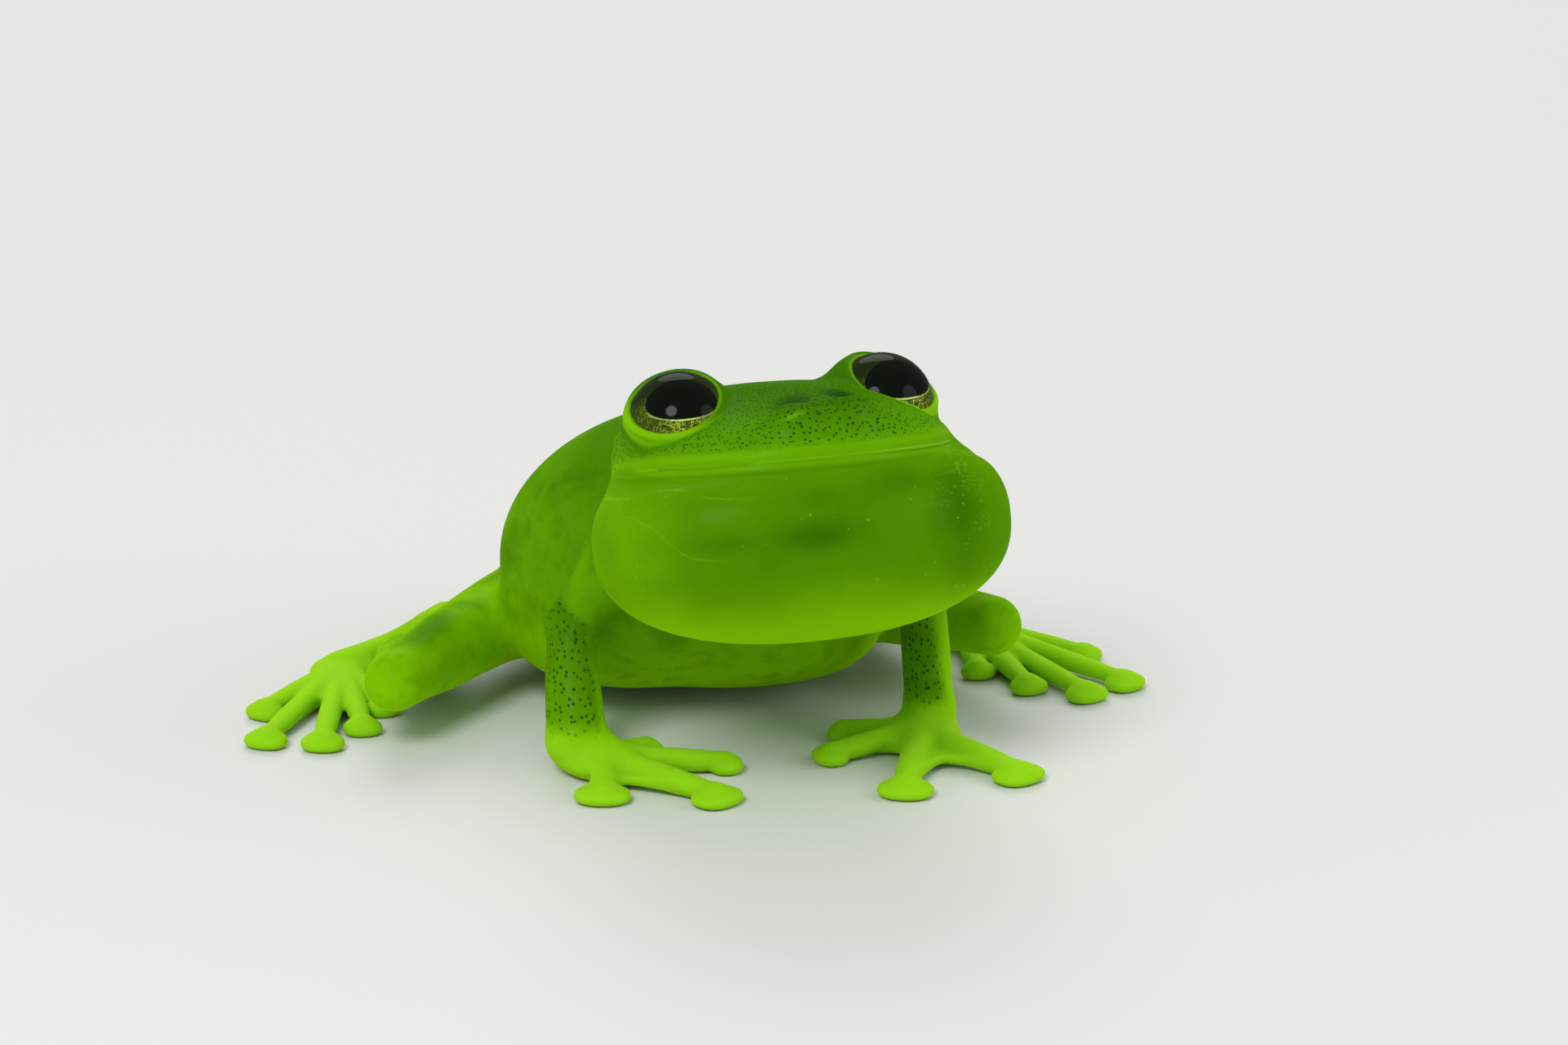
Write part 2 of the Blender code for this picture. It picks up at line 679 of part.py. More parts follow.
def main():
    clear_scene()
    matrix = head_matrix()
    form, sac = head_form(), sac_form()
    trunk = trunk_form()
    head = build_head(form, matrix)
    throat = build_throat(form, sac, matrix)
    eyes = build_eyes(matrix)
    form.data.transform(matrix)
    sac.data.transform(matrix)
    limbs = []
    for side in (LEFT, RIGHT):
        limbs += build_arm(side, trunk, form, sac)
        limbs += build_leg(side, trunk)
    torso = trunk
    torso.name = "torso"
    boolean(torso, "DIFFERENCE", [swollen(form, GAP), swollen(sac, GAP)])
    bpy.data.objects.remove(form)
    bpy.data.objects.remove(sac)
    for obj in (head, torso, *limbs):
        finish(obj, GREEN, 0.35)
    finish(throat, SAC_GREEN, 0.2)
    for eye in eyes:
        finish(eye, EYE_BLACK, 0.05)
    place_over_origin([head, throat, torso, *eyes, *limbs])


main()
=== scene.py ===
"""A life-size model of a glass frog: a calling male with a full vocal sac, raised on straight forelegs.

One smooth skin covers the whole frog, and the eyes sit in it. The skin's forms are worked out in
millimetres in the frog's own frame: +X is its left, -Y is ahead of it, +Z is up, and the floor is at 0.
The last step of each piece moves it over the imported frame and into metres.
"""
import json
import math
from itertools import product

import bpy
import numpy as np
from mathutils import Matrix, Vector

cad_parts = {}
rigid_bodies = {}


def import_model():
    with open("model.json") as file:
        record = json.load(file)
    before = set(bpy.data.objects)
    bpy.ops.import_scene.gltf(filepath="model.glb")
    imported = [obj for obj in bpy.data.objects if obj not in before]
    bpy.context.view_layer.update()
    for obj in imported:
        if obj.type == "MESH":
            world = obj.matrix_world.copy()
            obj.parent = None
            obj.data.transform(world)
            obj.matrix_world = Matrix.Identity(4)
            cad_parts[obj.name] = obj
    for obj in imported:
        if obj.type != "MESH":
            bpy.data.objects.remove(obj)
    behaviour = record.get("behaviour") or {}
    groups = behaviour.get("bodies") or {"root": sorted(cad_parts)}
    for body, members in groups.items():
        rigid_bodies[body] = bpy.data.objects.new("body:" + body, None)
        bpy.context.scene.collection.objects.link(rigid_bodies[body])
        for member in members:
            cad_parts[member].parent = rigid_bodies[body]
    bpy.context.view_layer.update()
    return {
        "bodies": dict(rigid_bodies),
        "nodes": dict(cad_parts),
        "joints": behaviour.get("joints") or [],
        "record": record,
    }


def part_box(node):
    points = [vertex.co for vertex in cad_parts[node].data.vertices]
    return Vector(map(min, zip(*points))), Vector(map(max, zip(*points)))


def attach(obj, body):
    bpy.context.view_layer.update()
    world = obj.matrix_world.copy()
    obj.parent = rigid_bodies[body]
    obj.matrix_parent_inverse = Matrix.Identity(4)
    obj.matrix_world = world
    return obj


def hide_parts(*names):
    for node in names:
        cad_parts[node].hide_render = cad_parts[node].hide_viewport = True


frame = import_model()

MM = 0.001
LEFT, RIGHT = 1, -1
SIDES = {RIGHT: "right", LEFT: "left"}

# The head, in its own frame: across to the left, back from the tip of the snout, up from the mouth.
SNOUT_TIP = np.array((0.17, -11.0, 10.15))
HEAD_PITCH = math.radians(15.0)
HEAD_TURN = math.radians(3.0)
NECK = np.array((0.0, -3.5, 8.0))
HEAD_HALF_WIDTH = 4.38
HEAD_FRONT = 5.2
HEAD_REAR = 3.0
HEAD_HEIGHT = 2.15
JAW_DEPTH = 1.7
HEAD_OUTLINE_POWER = 2.5
HEAD_FRONT_POWER = 5.0
HEAD_SIDE_POWER = 2.5
MOUTH_CORNER = 5.3  # how far back the mouth opens
MOUTH_RISE = 0.18  # how much higher the mouth's line lies in front than at its corners
SAC_TOP = 0.14  # where the sac's skin leaves the rim of the jaw

SAC_CENTRE = np.array((0.06, 3.3, -1.9))
SAC_HALF = (5.7, 4.2, 2.95)
SAC_POWER = 2.35

EYE_CENTRES = {RIGHT: (-2.85, 4.2, 1.3), LEFT: (2.95, 4.2, 1.3)}
BALL_RADIUS = 1.42
ORBIT_RADIUS = 1.53
OPENING_AXIS = np.array((0.306, -0.556, 0.774))  # where the opening between the lids faces, on the left
GAZE_AXIS = np.array((0.165, -0.829, 0.534))  # where the pupil faces, on the left
LID_PLANE = 0.73
BEFORE_EYE = {RIGHT: 1.3, LEFT: 1.85}  # the height of the snout just ahead of an eye
LID_EDGE = 1.21  # the opening between the lids, from its middle
LID_ROLLS = {RIGHT: 0.085, LEFT: 0.04}  # how much thicker the lid is below than above
PUPIL_HALF = (0.98, 0.62)

NOSTRIL = np.array((0.64, 0.55, 1.8))
NOSTRIL_RIM = NOSTRIL + ((-0.1, -0.28, -0.3), (0.12, -0.34, -0.36), (0.4, -0.2, -0.24))
NOSTRIL_HOLLOW = NOSTRIL + ((-0.3, 0.35, 0.06), (0.05, 0.2, 0.0), (0.45, 0.45, -0.03))
NOSTRIL_PIT = NOSTRIL + ((0.0, 0.0, -0.04), (0.16, 0.0, -0.06))
SCOOP_RADIUS = 6.0  # of the hollow ahead of each eye
BROW_RADIUS = 1.46
LID_THIN = 0.035  # half the thickness of the lid above the eye
EAR = np.array((4.03, 6.5, 0.75))
EAR_RADIUS = 0.5
EAR_FOLD = ((3.6, 6.0, 1.5), (3.9, 7.0, 1.35), (4.2, 8.2, 0.6))
NECK_FOLD = ((3.7, 6.7, 1.3), (4.05, 6.5, 0.8), (4.3, 6.4, 0.3), (4.5, 6.2, -0.1), (5.0, 5.9, -0.6))
CHEEK = ((3.75, 3.5, 0.6), (3.9, 3.15, 0.2), (4.3, 3.1, -0.45))  # the left one is fuller
CHEEK_BEHIND = ((4.3, 5.4, 0.1), (4.8, 4.75, -0.6))

# The trunk: distance behind the snout tip, half width, back, belly.
TRUNK = (
    (4.2, 2.6, 9.6, 7.0),
    (6.0, 3.4, 9.7, 4.8),
    (8.0, 4.2, 9.7, 2.5),
    (10.0, 5.1, 9.35, 0.9),
    (12.0, 5.55, 8.6, 0.4),
    (14.0, 5.0, 7.1, 0.4),
    (16.5, 3.75, 5.2, 0.7),
    (18.5, 2.75, 3.9, 0.9),
    (19.7, 1.9, 3.15, 1.1),
    (20.5, 1.2, 2.55, 1.35),
)
TRUNK_TURN = math.radians(1.5)
TRUNK_BACK_POWER = 2.15
TRUNK_BELLY_POWER = 3.4
TRUNK_END = 0.5
BELLY_CENTRE, BELLY_HALF = (1.9, 1.0, 2.6), (3.3, 3.9, 1.85)
RUMP_CENTRE, RUMP_HALF = (0, 11.8, -6.1), (2.0, 1.6, 0.9)  # in the torso's frame
TAIL_BONE = ((0, 3.0, 6.7), (0, 6.0, 4.62), (0, 8.0, 3.4), (0, 9.4, 2.35))
HIP_BONE = ((2.3, 2.4, 6.5), (1.9, 5.0, 4.6), (1.5, 7.3, 3.2), (1.0, 8.8, 2.2))  # on the left

ARMS = {
    RIGHT: {"shoulder": (-3.2, -4.1, 6.0), "elbow": (-4.75, -3.2, 3.75), "wrist": (-4.97, -4.9, 0.95)},
    LEFT: {"shoulder": (3.4, -4.1, 6.0), "elbow": (5.45, -3.2, 3.7), "wrist": (5.15, -4.9, 0.95)},
}
UPPER_ARM_RADII = (0.95, 0.8, 0.6)
SHOULDER_FOLDS = (
    ((4.75, -1.0, 7.0), (4.49, -1.79, 7.39), (3.97, -2.74, 7.83), (3.6, -3.4, 8.05)),
    ((4.86, -1.4, 6.4), (4.57, -2.09, 6.99), (4.15, -2.65, 7.5)),
)
FOREARM_RADII = {RIGHT: (0.58, 0.66, 0.76, 0.8, 0.8), LEFT: (0.6, 0.66, 0.68, 0.67, 0.68)}
LEGS = {
    RIGHT: {
        "hip": (-2.2, 6.8, 1.7),
        "knee": (-9.3, -1.6, 2.0),
        "ankle": (-5.7, 7.2, 0.7),
        "foot": (-9.4, 4.4, 0.5),
    },
    LEFT: {
        "hip": (1.7, 6.7, 1.7),
        "knee": (7.8, -2.2, 2.3),
        "ankle": (5.1, 7.0, 0.7),
        "foot": (8.6, 3.4, 0.5),
    },
}
THIGH_RADII = (1.2, 1.25, 1.1, 0.82)
SHANK_RADII = (0.78, 1.0, 0.82, 0.52)
TARSUS_RADII = (0.55, 0.42, 0.5)

# Where the disc of each digit lies, from the wrist or the foot's middle, outermost digit first.
FINGERS = {
    RIGHT: ((-0.03, -2.8), (3.1, -3.8), (4.1, -1.05), (2.3, 0.9)),
    LEFT: ((1.4, -4.25), (-2.1, -4.6), (-3.35, -1.15), (-2.4, 0.8)),
}
TOES = {
    RIGHT: ((-2.9, -2.4), (-3.4, -4.9), (-1.9, -5.6), (-0.5, -4.6), (0.5, -3.1)),
    LEFT: ((3.0, -2.9), (3.3, -5.6), (1.9, -6.3), (0.5, -5.2), (-0.5, -3.5)),
}
FINGER_DISCS = (0.78, 0.78, 0.6, 0.5)  # half widths
TOE_DISCS = (0.56, 0.62, 0.62, 0.55, 0.5)
FINGER_WEBS = (0.82, 0.5, 0.35)
TOE_WEBS = (0.6, 0.75, 0.75, 0.65)

SKIN_BOX = ((-14.5, -13.5, -0.4), (14.5, 12.5, 13.5))
FINE_STEP = 0.09  # the size of the net's meshes before the head is refined
FAR = 5.0
TINY = 1e-6
BAND = 0.35  # how far beyond its own surface and blend a form is worked out


class Frame:
    """A set of axes of its own for a form, placed in the frog's frame."""

    def __init__(self, origin=(0, 0, 0), axes=np.eye(3)):
        self.origin = np.array(origin, dtype=float)
        self.axes = np.array(axes, dtype=float)

    def local(self, x, y, z):
        x, y, z = x - self.origin[0], y - self.origin[1], z - self.origin[2]
        return [row[0] * x + row[1] * y + row[2] * z for row in self.axes]

    def outward(self, points):
        """Places given on these axes, in the frog's frame."""
        return np.asarray(points) @ self.axes + self.origin

    def inner(self, origin, axes=np.eye(3)):
        """A frame that is given on these axes."""
        return Frame(self.outward(origin), np.asarray(axes) @ self.axes)


def turned(angle):
    """Axes turned about the upright, anticlockwise from above."""
    c, s = math.cos(angle), math.sin(angle)
    return np.array(((c, s, 0), (-s, c, 0), (0, 0, 1)))


def head_frame():
    c, s = math.cos(HEAD_PITCH), math.sin(HEAD_PITCH)
    axes = np.array(((1, 0, 0), (0, c, -s), (0, s, c))) @ turned(HEAD_TURN)
    origin = NECK + (SNOUT_TIP - NECK) @ turned(HEAD_TURN)
    return Frame(origin, axes)


BODY = Frame()
HEAD = head_frame()
TORSO = Frame(NECK, turned(TRUNK_TURN))


def mirrored(point, side):
    return np.array((point[0] * side, point[1], point[2]))


def axes_about(axis, down):
    """Axes whose third is the given one and whose second points away from down."""
    third = np.asarray(axis) / np.linalg.norm(axis)
    second = -np.asarray(down, dtype=float)
    second -= second @ third * third
    second /= np.linalg.norm(second)
    return np.array((np.cross(second, third), second, third))


def eye_place(side):
    return np.array(EYE_CENTRES[side])


def eye_frame(side, axis):
    """The frame of an eye: its third axis is the given one, its second points upwards."""
    return HEAD.inner(eye_place(side), axes_about(mirrored(axis, side), (0, 0, -1)))


def fade(value, low, high):
    """0 below low, 1 above high and a smooth step between."""
    share = np.clip((value - low) / (high - low), 0, 1)
    return share * share * (3 - 2 * share)


def soft_least(a, b, blend):
    """The smaller of two distances, with a fillet of about the given size where they are alike."""
    overlap = np.maximum(blend - np.abs(a - b), 0) / blend
    return np.minimum(a, b) - overlap * overlap * blend / 4


def soft_most(a, b, blend):
    return -soft_least(-a, -b, blend)


def scaled(value, half):
    """A coordinate over a half length, or over a pair of them: one for each direction."""
    if isinstance(half, tuple):
        return np.where(value < 0, value / half[0], value / half[1])
    return value / half


def egg(half, plan=2.0, rise=2.0):
    """A rounded body about a frame's origin; high powers square it, in plan and upwards."""

    def measure(x, y, z):
        across, along, height = (np.abs(scaled(v, h)) for v, h in zip((x, y, z), half))
        level = (across**plan + along**plan) ** (1 / plan) + TINY
        power = rise(across / level) if callable(rise) else rise
        size = (level**power + height**power) ** (1 / power) + TINY
        outward = (level / size) ** (power - 1)
        shares = [outward * (v / level) ** (plan - 1) for v in (across, along)]
        shares.append((height / size) ** (power - 1))
        widths = [h if np.isscalar(h) else np.where(v < 0, h[0], h[1]) for v, h in zip((x, y, z), half)]
        return (size - 1) / np.sqrt(sum((s / w) ** 2 for s, w in zip(shares, widths)))

    return measure


def rod(points, radii, flat=1.0):
    """A run of round lengths; flat lowers its height."""
    points = [np.array((p[0], p[1], p[2] / flat)) for p in points]

    def measure(x, y, z):
        z = z / flat
        nearest = FAR
        for start, end, first, last in zip(points, points[1:], radii, radii[1:]):
            way = end - start
            dx, dy, dz = x - start[0], y - start[1], z - start[2]
            share = np.clip((dx * way[0] + dy * way[1] + dz * way[2]) / (way @ way), 0, 1)
            gap = (dx - share * way[0]) ** 2 + (dy - share * way[1]) ** 2 + (dz - share * way[2]) ** 2
            nearest = np.minimum(nearest, np.sqrt(gap) - first - share * (last - first))
        return nearest

    return measure


def ring(radius, thickness):
    """A closed ring about the third axis; thickness may vary with the direction from its middle."""

    def measure(x, y, z):
        out = np.sqrt(x * x + y * y) + TINY
        thick = thickness(x / out, y / out) if callable(thickness) else thickness
        return np.sqrt((out - radius) ** 2 + z * z) - thick

    return measure


class Reach:
    """The box in the frog's frame that a form has to be worked out in."""

    def __init__(self, low, high, margin, frame):
        corners = frame.outward(list(product(*zip(low, high))))
        self.low = corners.min(axis=0) - margin
        self.high = corners.max(axis=0) + margin


class Form(Reach):
    """One form of the body, joined to what is there already, or cut out of it."""

    def __init__(self, measure, low, high, blend=0.3, frame=BODY, cut=False):
        super().__init__(low, high, BAND + (blend if np.isscalar(blend) else blend.most), frame)
        self.measure, self.blend, self.frame, self.cut = measure, blend, frame, cut

    def work(self, field, place):
        local = self.frame.local(*place)
        measure = self.measure(*local)
        blend = self.blend if np.isscalar(self.blend) else self.blend(*local)
        if self.cut:
            return -soft_least(-field, measure, blend)
        return soft_least(field, measure, blend)


class Press(Reach):
    """A crease pressed into what is there already, or a ridge raised where its depth is negative."""

    def __init__(self, measure, low, high, depth, width, frame=BODY):
        super().__init__(low, high, 3 * width, frame)
        self.measure, self.depth, self.width, self.frame = measure, depth, width, frame

    def work(self, field, place):
        away = self.measure(*self.frame.local(*place)) / self.width
        return field + self.depth * np.exp(-np.minimum(away * away, 30))


def crease(points, depth, width, frame=BODY, ends=0.0, steps=8):
    """A crease along a smooth line, which dies away at its ends by the given length of width."""
    line = np.array(bent(points, steps))
    middle = steps // 2
    radii = [-ends * abs(i - middle) ** 3 / middle**3 for i in range(steps + 1)]
    return Press(rod(line, radii), line.min(axis=0), line.max(axis=0), depth, width, frame)


class VaryingBlend:
    """A blend that grows from least to most along one axis of the form's frame."""

    def __init__(self, axis, start, end, least, most):
        self.axis, self.start, self.end, self.least, self.most = axis, start, end, least, most

    def __call__(self, *local):
        return self.least + (self.most - self.least) * fade(local[self.axis], self.start, self.end)


def egg_form(centre, half, blend, plan=2.0, rise=2.0, frame=BODY, axes=np.eye(3), cut=False):
    reach = [h if np.isscalar(h) else max(h) for h in half]
    place = frame.inner(centre, axes)
    return Form(egg(half, plan, rise), [-r for r in reach], reach, blend, place, cut)


def rod_form(points, radii, blend, flat=1.0, frame=BODY, cut=False):
    points = np.array(points, dtype=float)
    widest = max(radii)
    low, high = points.min(axis=0) - widest, points.max(axis=0) + widest
    return Form(rod(points, radii, flat), low, high, blend, frame, cut)


def bent(points, steps=8):
    """A smooth line through a few points."""
    points = [np.array(p, dtype=float) for p in points]
    padded = [2 * points[0] - points[1], *points, 2 * points[-1] - points[-2]]
    line = []
    for i in range(steps + 1):
        place = min(i / steps * (len(points) - 1), len(points) - 1 - TINY)
        start = int(place)
        t = place - start
        a, b, c, d = padded[start : start + 4]
        square = (2 * a - 5 * b + 4 * c - d) * t**2
        cube = (3 * b - a - 3 * c + d) * t**3
        line.append(0.5 * (2 * b + (c - a) * t + square + cube))
    return line


def spread(values, steps=8):
    """Values worked out smoothly at even steps between the given ones."""
    places = np.linspace(0, len(values) - 1, steps + 1)
    low = np.minimum(places.astype(int), len(values) - 2)
    share = fade(places - low, 0, 1)
    values = np.array(values)
    return values[low] * (1 - share) + values[low + 1] * share


def limb(points, radii, blend, flat=1.0, steps=8):
    """Round lengths along a smooth line through a few points."""
    return rod_form(bent(points, steps), spread(radii, steps), blend, flat)


# The trunk


def smooth_profile(column):
    """One measure of the trunk at close places along it, rounded where the given ones meet."""
    behind = np.arange(TRUNK[0][0] - 2, TRUNK[-1][0] + 2, 0.05)
    values = np.interp(behind, [row[0] for row in TRUNK], [row[column] for row in TRUNK])
    kernel = np.hanning(31)
    kernel /= kernel.sum()
    edge = len(kernel) // 2
    padded = np.pad(values, edge, mode="edge")
    return behind, np.convolve(padded, kernel, mode="valid")


def trunk_measure():
    profiles = [smooth_profile(column) for column in (1, 2, 3)]
    slopes = [(behind, np.gradient(values, behind)) for behind, values in profiles]
    last = TRUNK[-1][0]

    def measure(x, y, z):
        behind = y + NECK[1] - SNOUT_TIP[1]
        z = z + NECK[2]
        place = np.minimum(behind, last)
        width, back, belly = (np.interp(place, *p) for p in profiles)
        width_slope, back_slope, belly_slope = (np.interp(place, *s) for s in slopes)
        middle, height = (back + belly) / 2, (back - belly) / 2
        upward = (z - middle) / height
        power = np.where(upward > 0, TRUNK_BACK_POWER, TRUNK_BELLY_POWER)
        across, rise = np.abs(x / width), np.abs(upward)
        size = (across**power + rise**power) ** (1 / power) + TINY
        side, top = (across / size) ** (power - 1), (rise / size) ** (power - 1)
        height_slope = (back_slope - belly_slope) / 2
        middle_slope = (back_slope + belly_slope) / 2
        along = side * across * width_slope / width + top * rise * height_slope / height
        along = along + top * np.sign(upward) * middle_slope / height
        past = np.maximum(behind - last, 0) / TRUNK_END
        whole = np.sqrt(size**2 + past**2)
        steepness = (side / width, top / height, along, past / whole / TRUNK_END)
        slope = np.sqrt(sum(s**2 for s in steepness))
        return np.maximum((whole - 1) / slope, TRUNK[0][0] - behind)

    return measure


def trunk_forms():
    start, end = (TRUNK[i][0] + SNOUT_TIP[1] - NECK[1] for i in (0, -1))
    low = (-6.0, start, -NECK[2])
    high = (6.0, end + TRUNK_END, 3.0)
    forms = [Form(trunk_measure(), low, high, 0.3, TORSO)]
    forms.append(egg_form(BELLY_CENTRE, BELLY_HALF, 0.9, 2.4, 2.6))
    forms.append(limb(TAIL_BONE, (0.28, 0.36, 0.3, 0.15), 0.6))
    forms.append(egg_form(RUMP_CENTRE, RUMP_HALF, 0.8, frame=TORSO))
    for side in (LEFT, RIGHT):
        hip_bone = [mirrored(p, side) for p in HIP_BONE]
        forms.append(limb(hip_bone, (0.35, 0.45, 0.35, 0.15), 0.9))
        shoulder_blade = [(side * 2.0, -3.2, 8.3), (side * 3.4, -1.8, 7.0)]
        forms.append(rod_form(shoulder_blade, (0.7, 0.8), 0.9))
    return forms


# Limbs


def leg_forms(side):
    joints = LEGS[side]
    hip, knee, ankle, foot = (np.array(joints[k]) for k in ("hip", "knee", "ankle", "foot"))
    return [
        limb([hip, (hip + knee) / 2 + (0, 0, 0.1), knee], THIGH_RADII, 0.7),
        limb([knee, (knee + ankle) / 2, ankle], SHANK_RADII, 0.16),
        limb([ankle, (ankle + foot) / 2, foot], TARSUS_RADII, 0.25),
    ]


def arm_forms(side):
    shoulder, elbow, wrist = (np.array(ARMS[side][k]) for k in ("shoulder", "elbow", "wrist"))
    return [
        limb([shoulder, elbow], UPPER_ARM_RADII, 0.55, steps=4),
        limb([elbow, (elbow + wrist) / 2, wrist], FOREARM_RADII[side], 0.3),
    ]


def web_measure(root, first, second, reach, thickness, level):
    """Thin skin between two digits, whose free edge is drawn in."""
    first_way, second_way = first - root, second - root
    spans = [np.linalg.norm(w) for w in (first_way, second_way)]
    turn = math.atan2(first_way[0] * second_way[1] - first_way[1] * second_way[0], first_way @ second_way)
    sign = 1 if turn > 0 else -1

    def measure(x, y, z):
        dx, dy = x - root[0], y - root[1]
        angle = np.arctan2(first_way[0] * dy - first_way[1] * dx, first_way[0] * dx + first_way[1] * dy)
        share = np.clip(sign * angle / abs(turn), 0, 1)
        edge = (spans[0] * (1 - share) + spans[1] * share) * reach * (1 - 0.42 * np.sin(math.pi * share))
        outside = [
            sign * (first_way[1] * dx - first_way[0] * dy) / spans[0],
            sign * (second_way[0] * dy - second_way[1] * dx) / spans[1],
            np.hypot(dx, dy) - edge,
        ]
        plan = np.maximum(np.maximum(outside[0], outside[1]), outside[2])
        return soft_most(plan, np.abs(z - level) - thickness, 0.15)

    return measure


def digit_forms(root, tips, widths, webs, radius, palm):
    """The digits of a hand or a foot with their discs and the webs between them."""
    forms = [palm]
    tips = [np.array(tip) for tip in tips]
    for tip, width in zip(tips, widths):
        way = tip - root
        span = np.linalg.norm(way)
        disc_middle = root + way * (1 - 0.25 * width / span)
        line = [(*(root + way * s), h) for s, h in ((0.1, 0.5), (0.4, 0.48), (0.7, 0.36), (0.93, 0.3))]
        forms.append(limb(line, [radius * r for r in (1.15, 0.9, 0.95, 0.78)], 0.2, 0.8))
        heading = turned(math.atan2(way[1], way[0]) - math.pi / 2)
        forms.append(egg_form((*disc_middle, 0.2), (width, width * 0.8, 0.24), 0.1, 2.3, 2.3, axes=heading))
        dome = disc_middle - way / span * width * 0.1
        forms.append(egg_form((*dome, 0.28), (width * 0.62, width * 0.6, 0.27), 0.16, axes=heading))
    for first, second, reach in zip(tips, tips[1:], webs):
        measure = web_measure(root, first, second, reach, 0.13, 0.3)
        flat = np.array((root, first, second))
        low, high = (*flat.min(axis=0), 0.1), (*flat.max(axis=0), 0.5)
        forms.append(Form(measure, low, high, 0.22))
    return forms


def hand_forms(side):
    wrist = np.array(ARMS[side]["wrist"])
    tips = [wrist[:2] + offset for offset in FINGERS[side]]
    root = wrist[:2] + (np.mean(tips, axis=0) - wrist[:2]) * 0.3
    palm = egg_form((*root, 0.45), (1.15, 1.05, 0.5), 0.35)
    heel = rod_form([wrist, (*root, 0.5)], (FOREARM_RADII[side][-1], 0.6), 0.3)
    return [heel] + digit_forms(root, tips, FINGER_DISCS, FINGER_WEBS, 0.4, palm)


def foot_forms(side):
    middle = np.array(LEGS[side]["foot"])
    tips = [middle[:2] + offset for offset in TOES[side]]
    sole = egg_form((*middle[:2], 0.4), (0.95, 0.9, 0.45), 0.3)
    return digit_forms(middle[:2], tips, TOE_DISCS, TOE_WEBS, 0.34, sole)


# The head and the vocal sac


def head_rise(side_share):
    return HEAD_FRONT_POWER + (HEAD_SIDE_POWER - HEAD_FRONT_POWER) * side_share


def outline_gap(x, y):
    """How far a place lies outside the mouth's line, in plan."""
    across = np.abs(x / HEAD_HALF_WIDTH)
    ahead = np.abs(np.minimum(y - HEAD_FRONT, 0) / HEAD_FRONT)
    p = HEAD_OUTLINE_POWER
    level = (across**p + ahead**p) ** (1 / p) + TINY
    slopes = ((across / level) ** (p - 1) / HEAD_HALF_WIDTH, (ahead / level) ** (p - 1) / HEAD_FRONT)
    return (level - 1) / np.sqrt(slopes[0] ** 2 + slopes[1] ** 2 + TINY)


def mouth_height(y):
    """The height of the mouth's line, which sinks a little towards its corners."""
    return MOUTH_RISE * (1 - fade(y, 2.0, MOUTH_CORNER))


def lip_measure(height, inset, thickness):
    """A roll along the mouth, at a height above the mouth's line; it dies away behind the corners."""

    def measure(x, y, z):
        fading = thickness + 0.25
        thick = thickness - fading * fade(y, MOUTH_CORNER - 0.3, MOUTH_CORNER + 0.6)
        return np.sqrt((outline_gap(x, y) + inset) ** 2 + (z - mouth_height(y) - height) ** 2) - thick

    return measure


LIP_LOW = (-HEAD_HALF_WIDTH - 0.3, -0.4, -0.6)
LIP_HIGH = (HEAD_HALF_WIDTH + 0.3, MOUTH_CORNER + 0.8, 0.9)


def lip_form(height, inset, thickness, blend):
    return Form(lip_measure(height, inset, thickness), LIP_LOW, LIP_HIGH, blend, HEAD)


def mouth_crease(depth, width):
    return Press(lip_measure(0.0, 0.0, 0.0), LIP_LOW, LIP_HIGH, depth, width, HEAD)


def sac_measure(x, y, z):
    """The full vocal sac, which starts under the rim of the jaw and rises behind the mouth's corners."""
    bag = egg(SAC_HALF, SAC_POWER, SAC_POWER)(x - SAC_CENTRE[0], y - SAC_CENTRE[1], z - SAC_CENTRE[2])
    return soft_most(bag, z - SAC_TOP, 0.8)


def head_forms():
    half = (HEAD_HALF_WIDTH, (HEAD_FRONT, HEAD_REAR), (JAW_DEPTH, HEAD_HEIGHT))
    dome = egg(half, HEAD_OUTLINE_POWER, head_rise)
    dome_place = HEAD.inner((0, HEAD_FRONT, 0))
    low = (-HEAD_HALF_WIDTH, -HEAD_FRONT, -JAW_DEPTH)
    high = (HEAD_HALF_WIDTH, HEAD_REAR, HEAD_HEIGHT)
    sac_low = SAC_CENTRE - SAC_HALF
    sac_high = SAC_CENTRE + SAC_HALF
    sac_blend = VaryingBlend(1, 1.6, 4.6, 0.2, 0.8)
    return [
        Form(dome, low, high, 0.3, dome_place),
        lip_form(0.2, 0.17, 0.19, 0.4),
        lip_form(-0.17, 0.14, 0.15, 0.3),
        rod_form(CHEEK, (0.3, 0.42, 0.6), 0.6, frame=HEAD),
        rod_form(CHEEK_BEHIND, (0.6, 0.65), 0.6, frame=HEAD),
        Form(sac_measure, sac_low, sac_high, sac_blend, HEAD),
    ]


def lid_measure(side):
    """The edge of the lids: a thick roll below and on the outer side, and thin above."""

    def measure(x, y, z):
        out = np.sqrt(x * x + y * y) + TINY
        thick = LID_THIN + LID_ROLLS[side] * fade((0.5 * side * x - 0.86 * y) / out, -0.1, 0.9)
        return np.sqrt((out - LID_EDGE - thick) ** 2 + z * z) - thick

    return measure


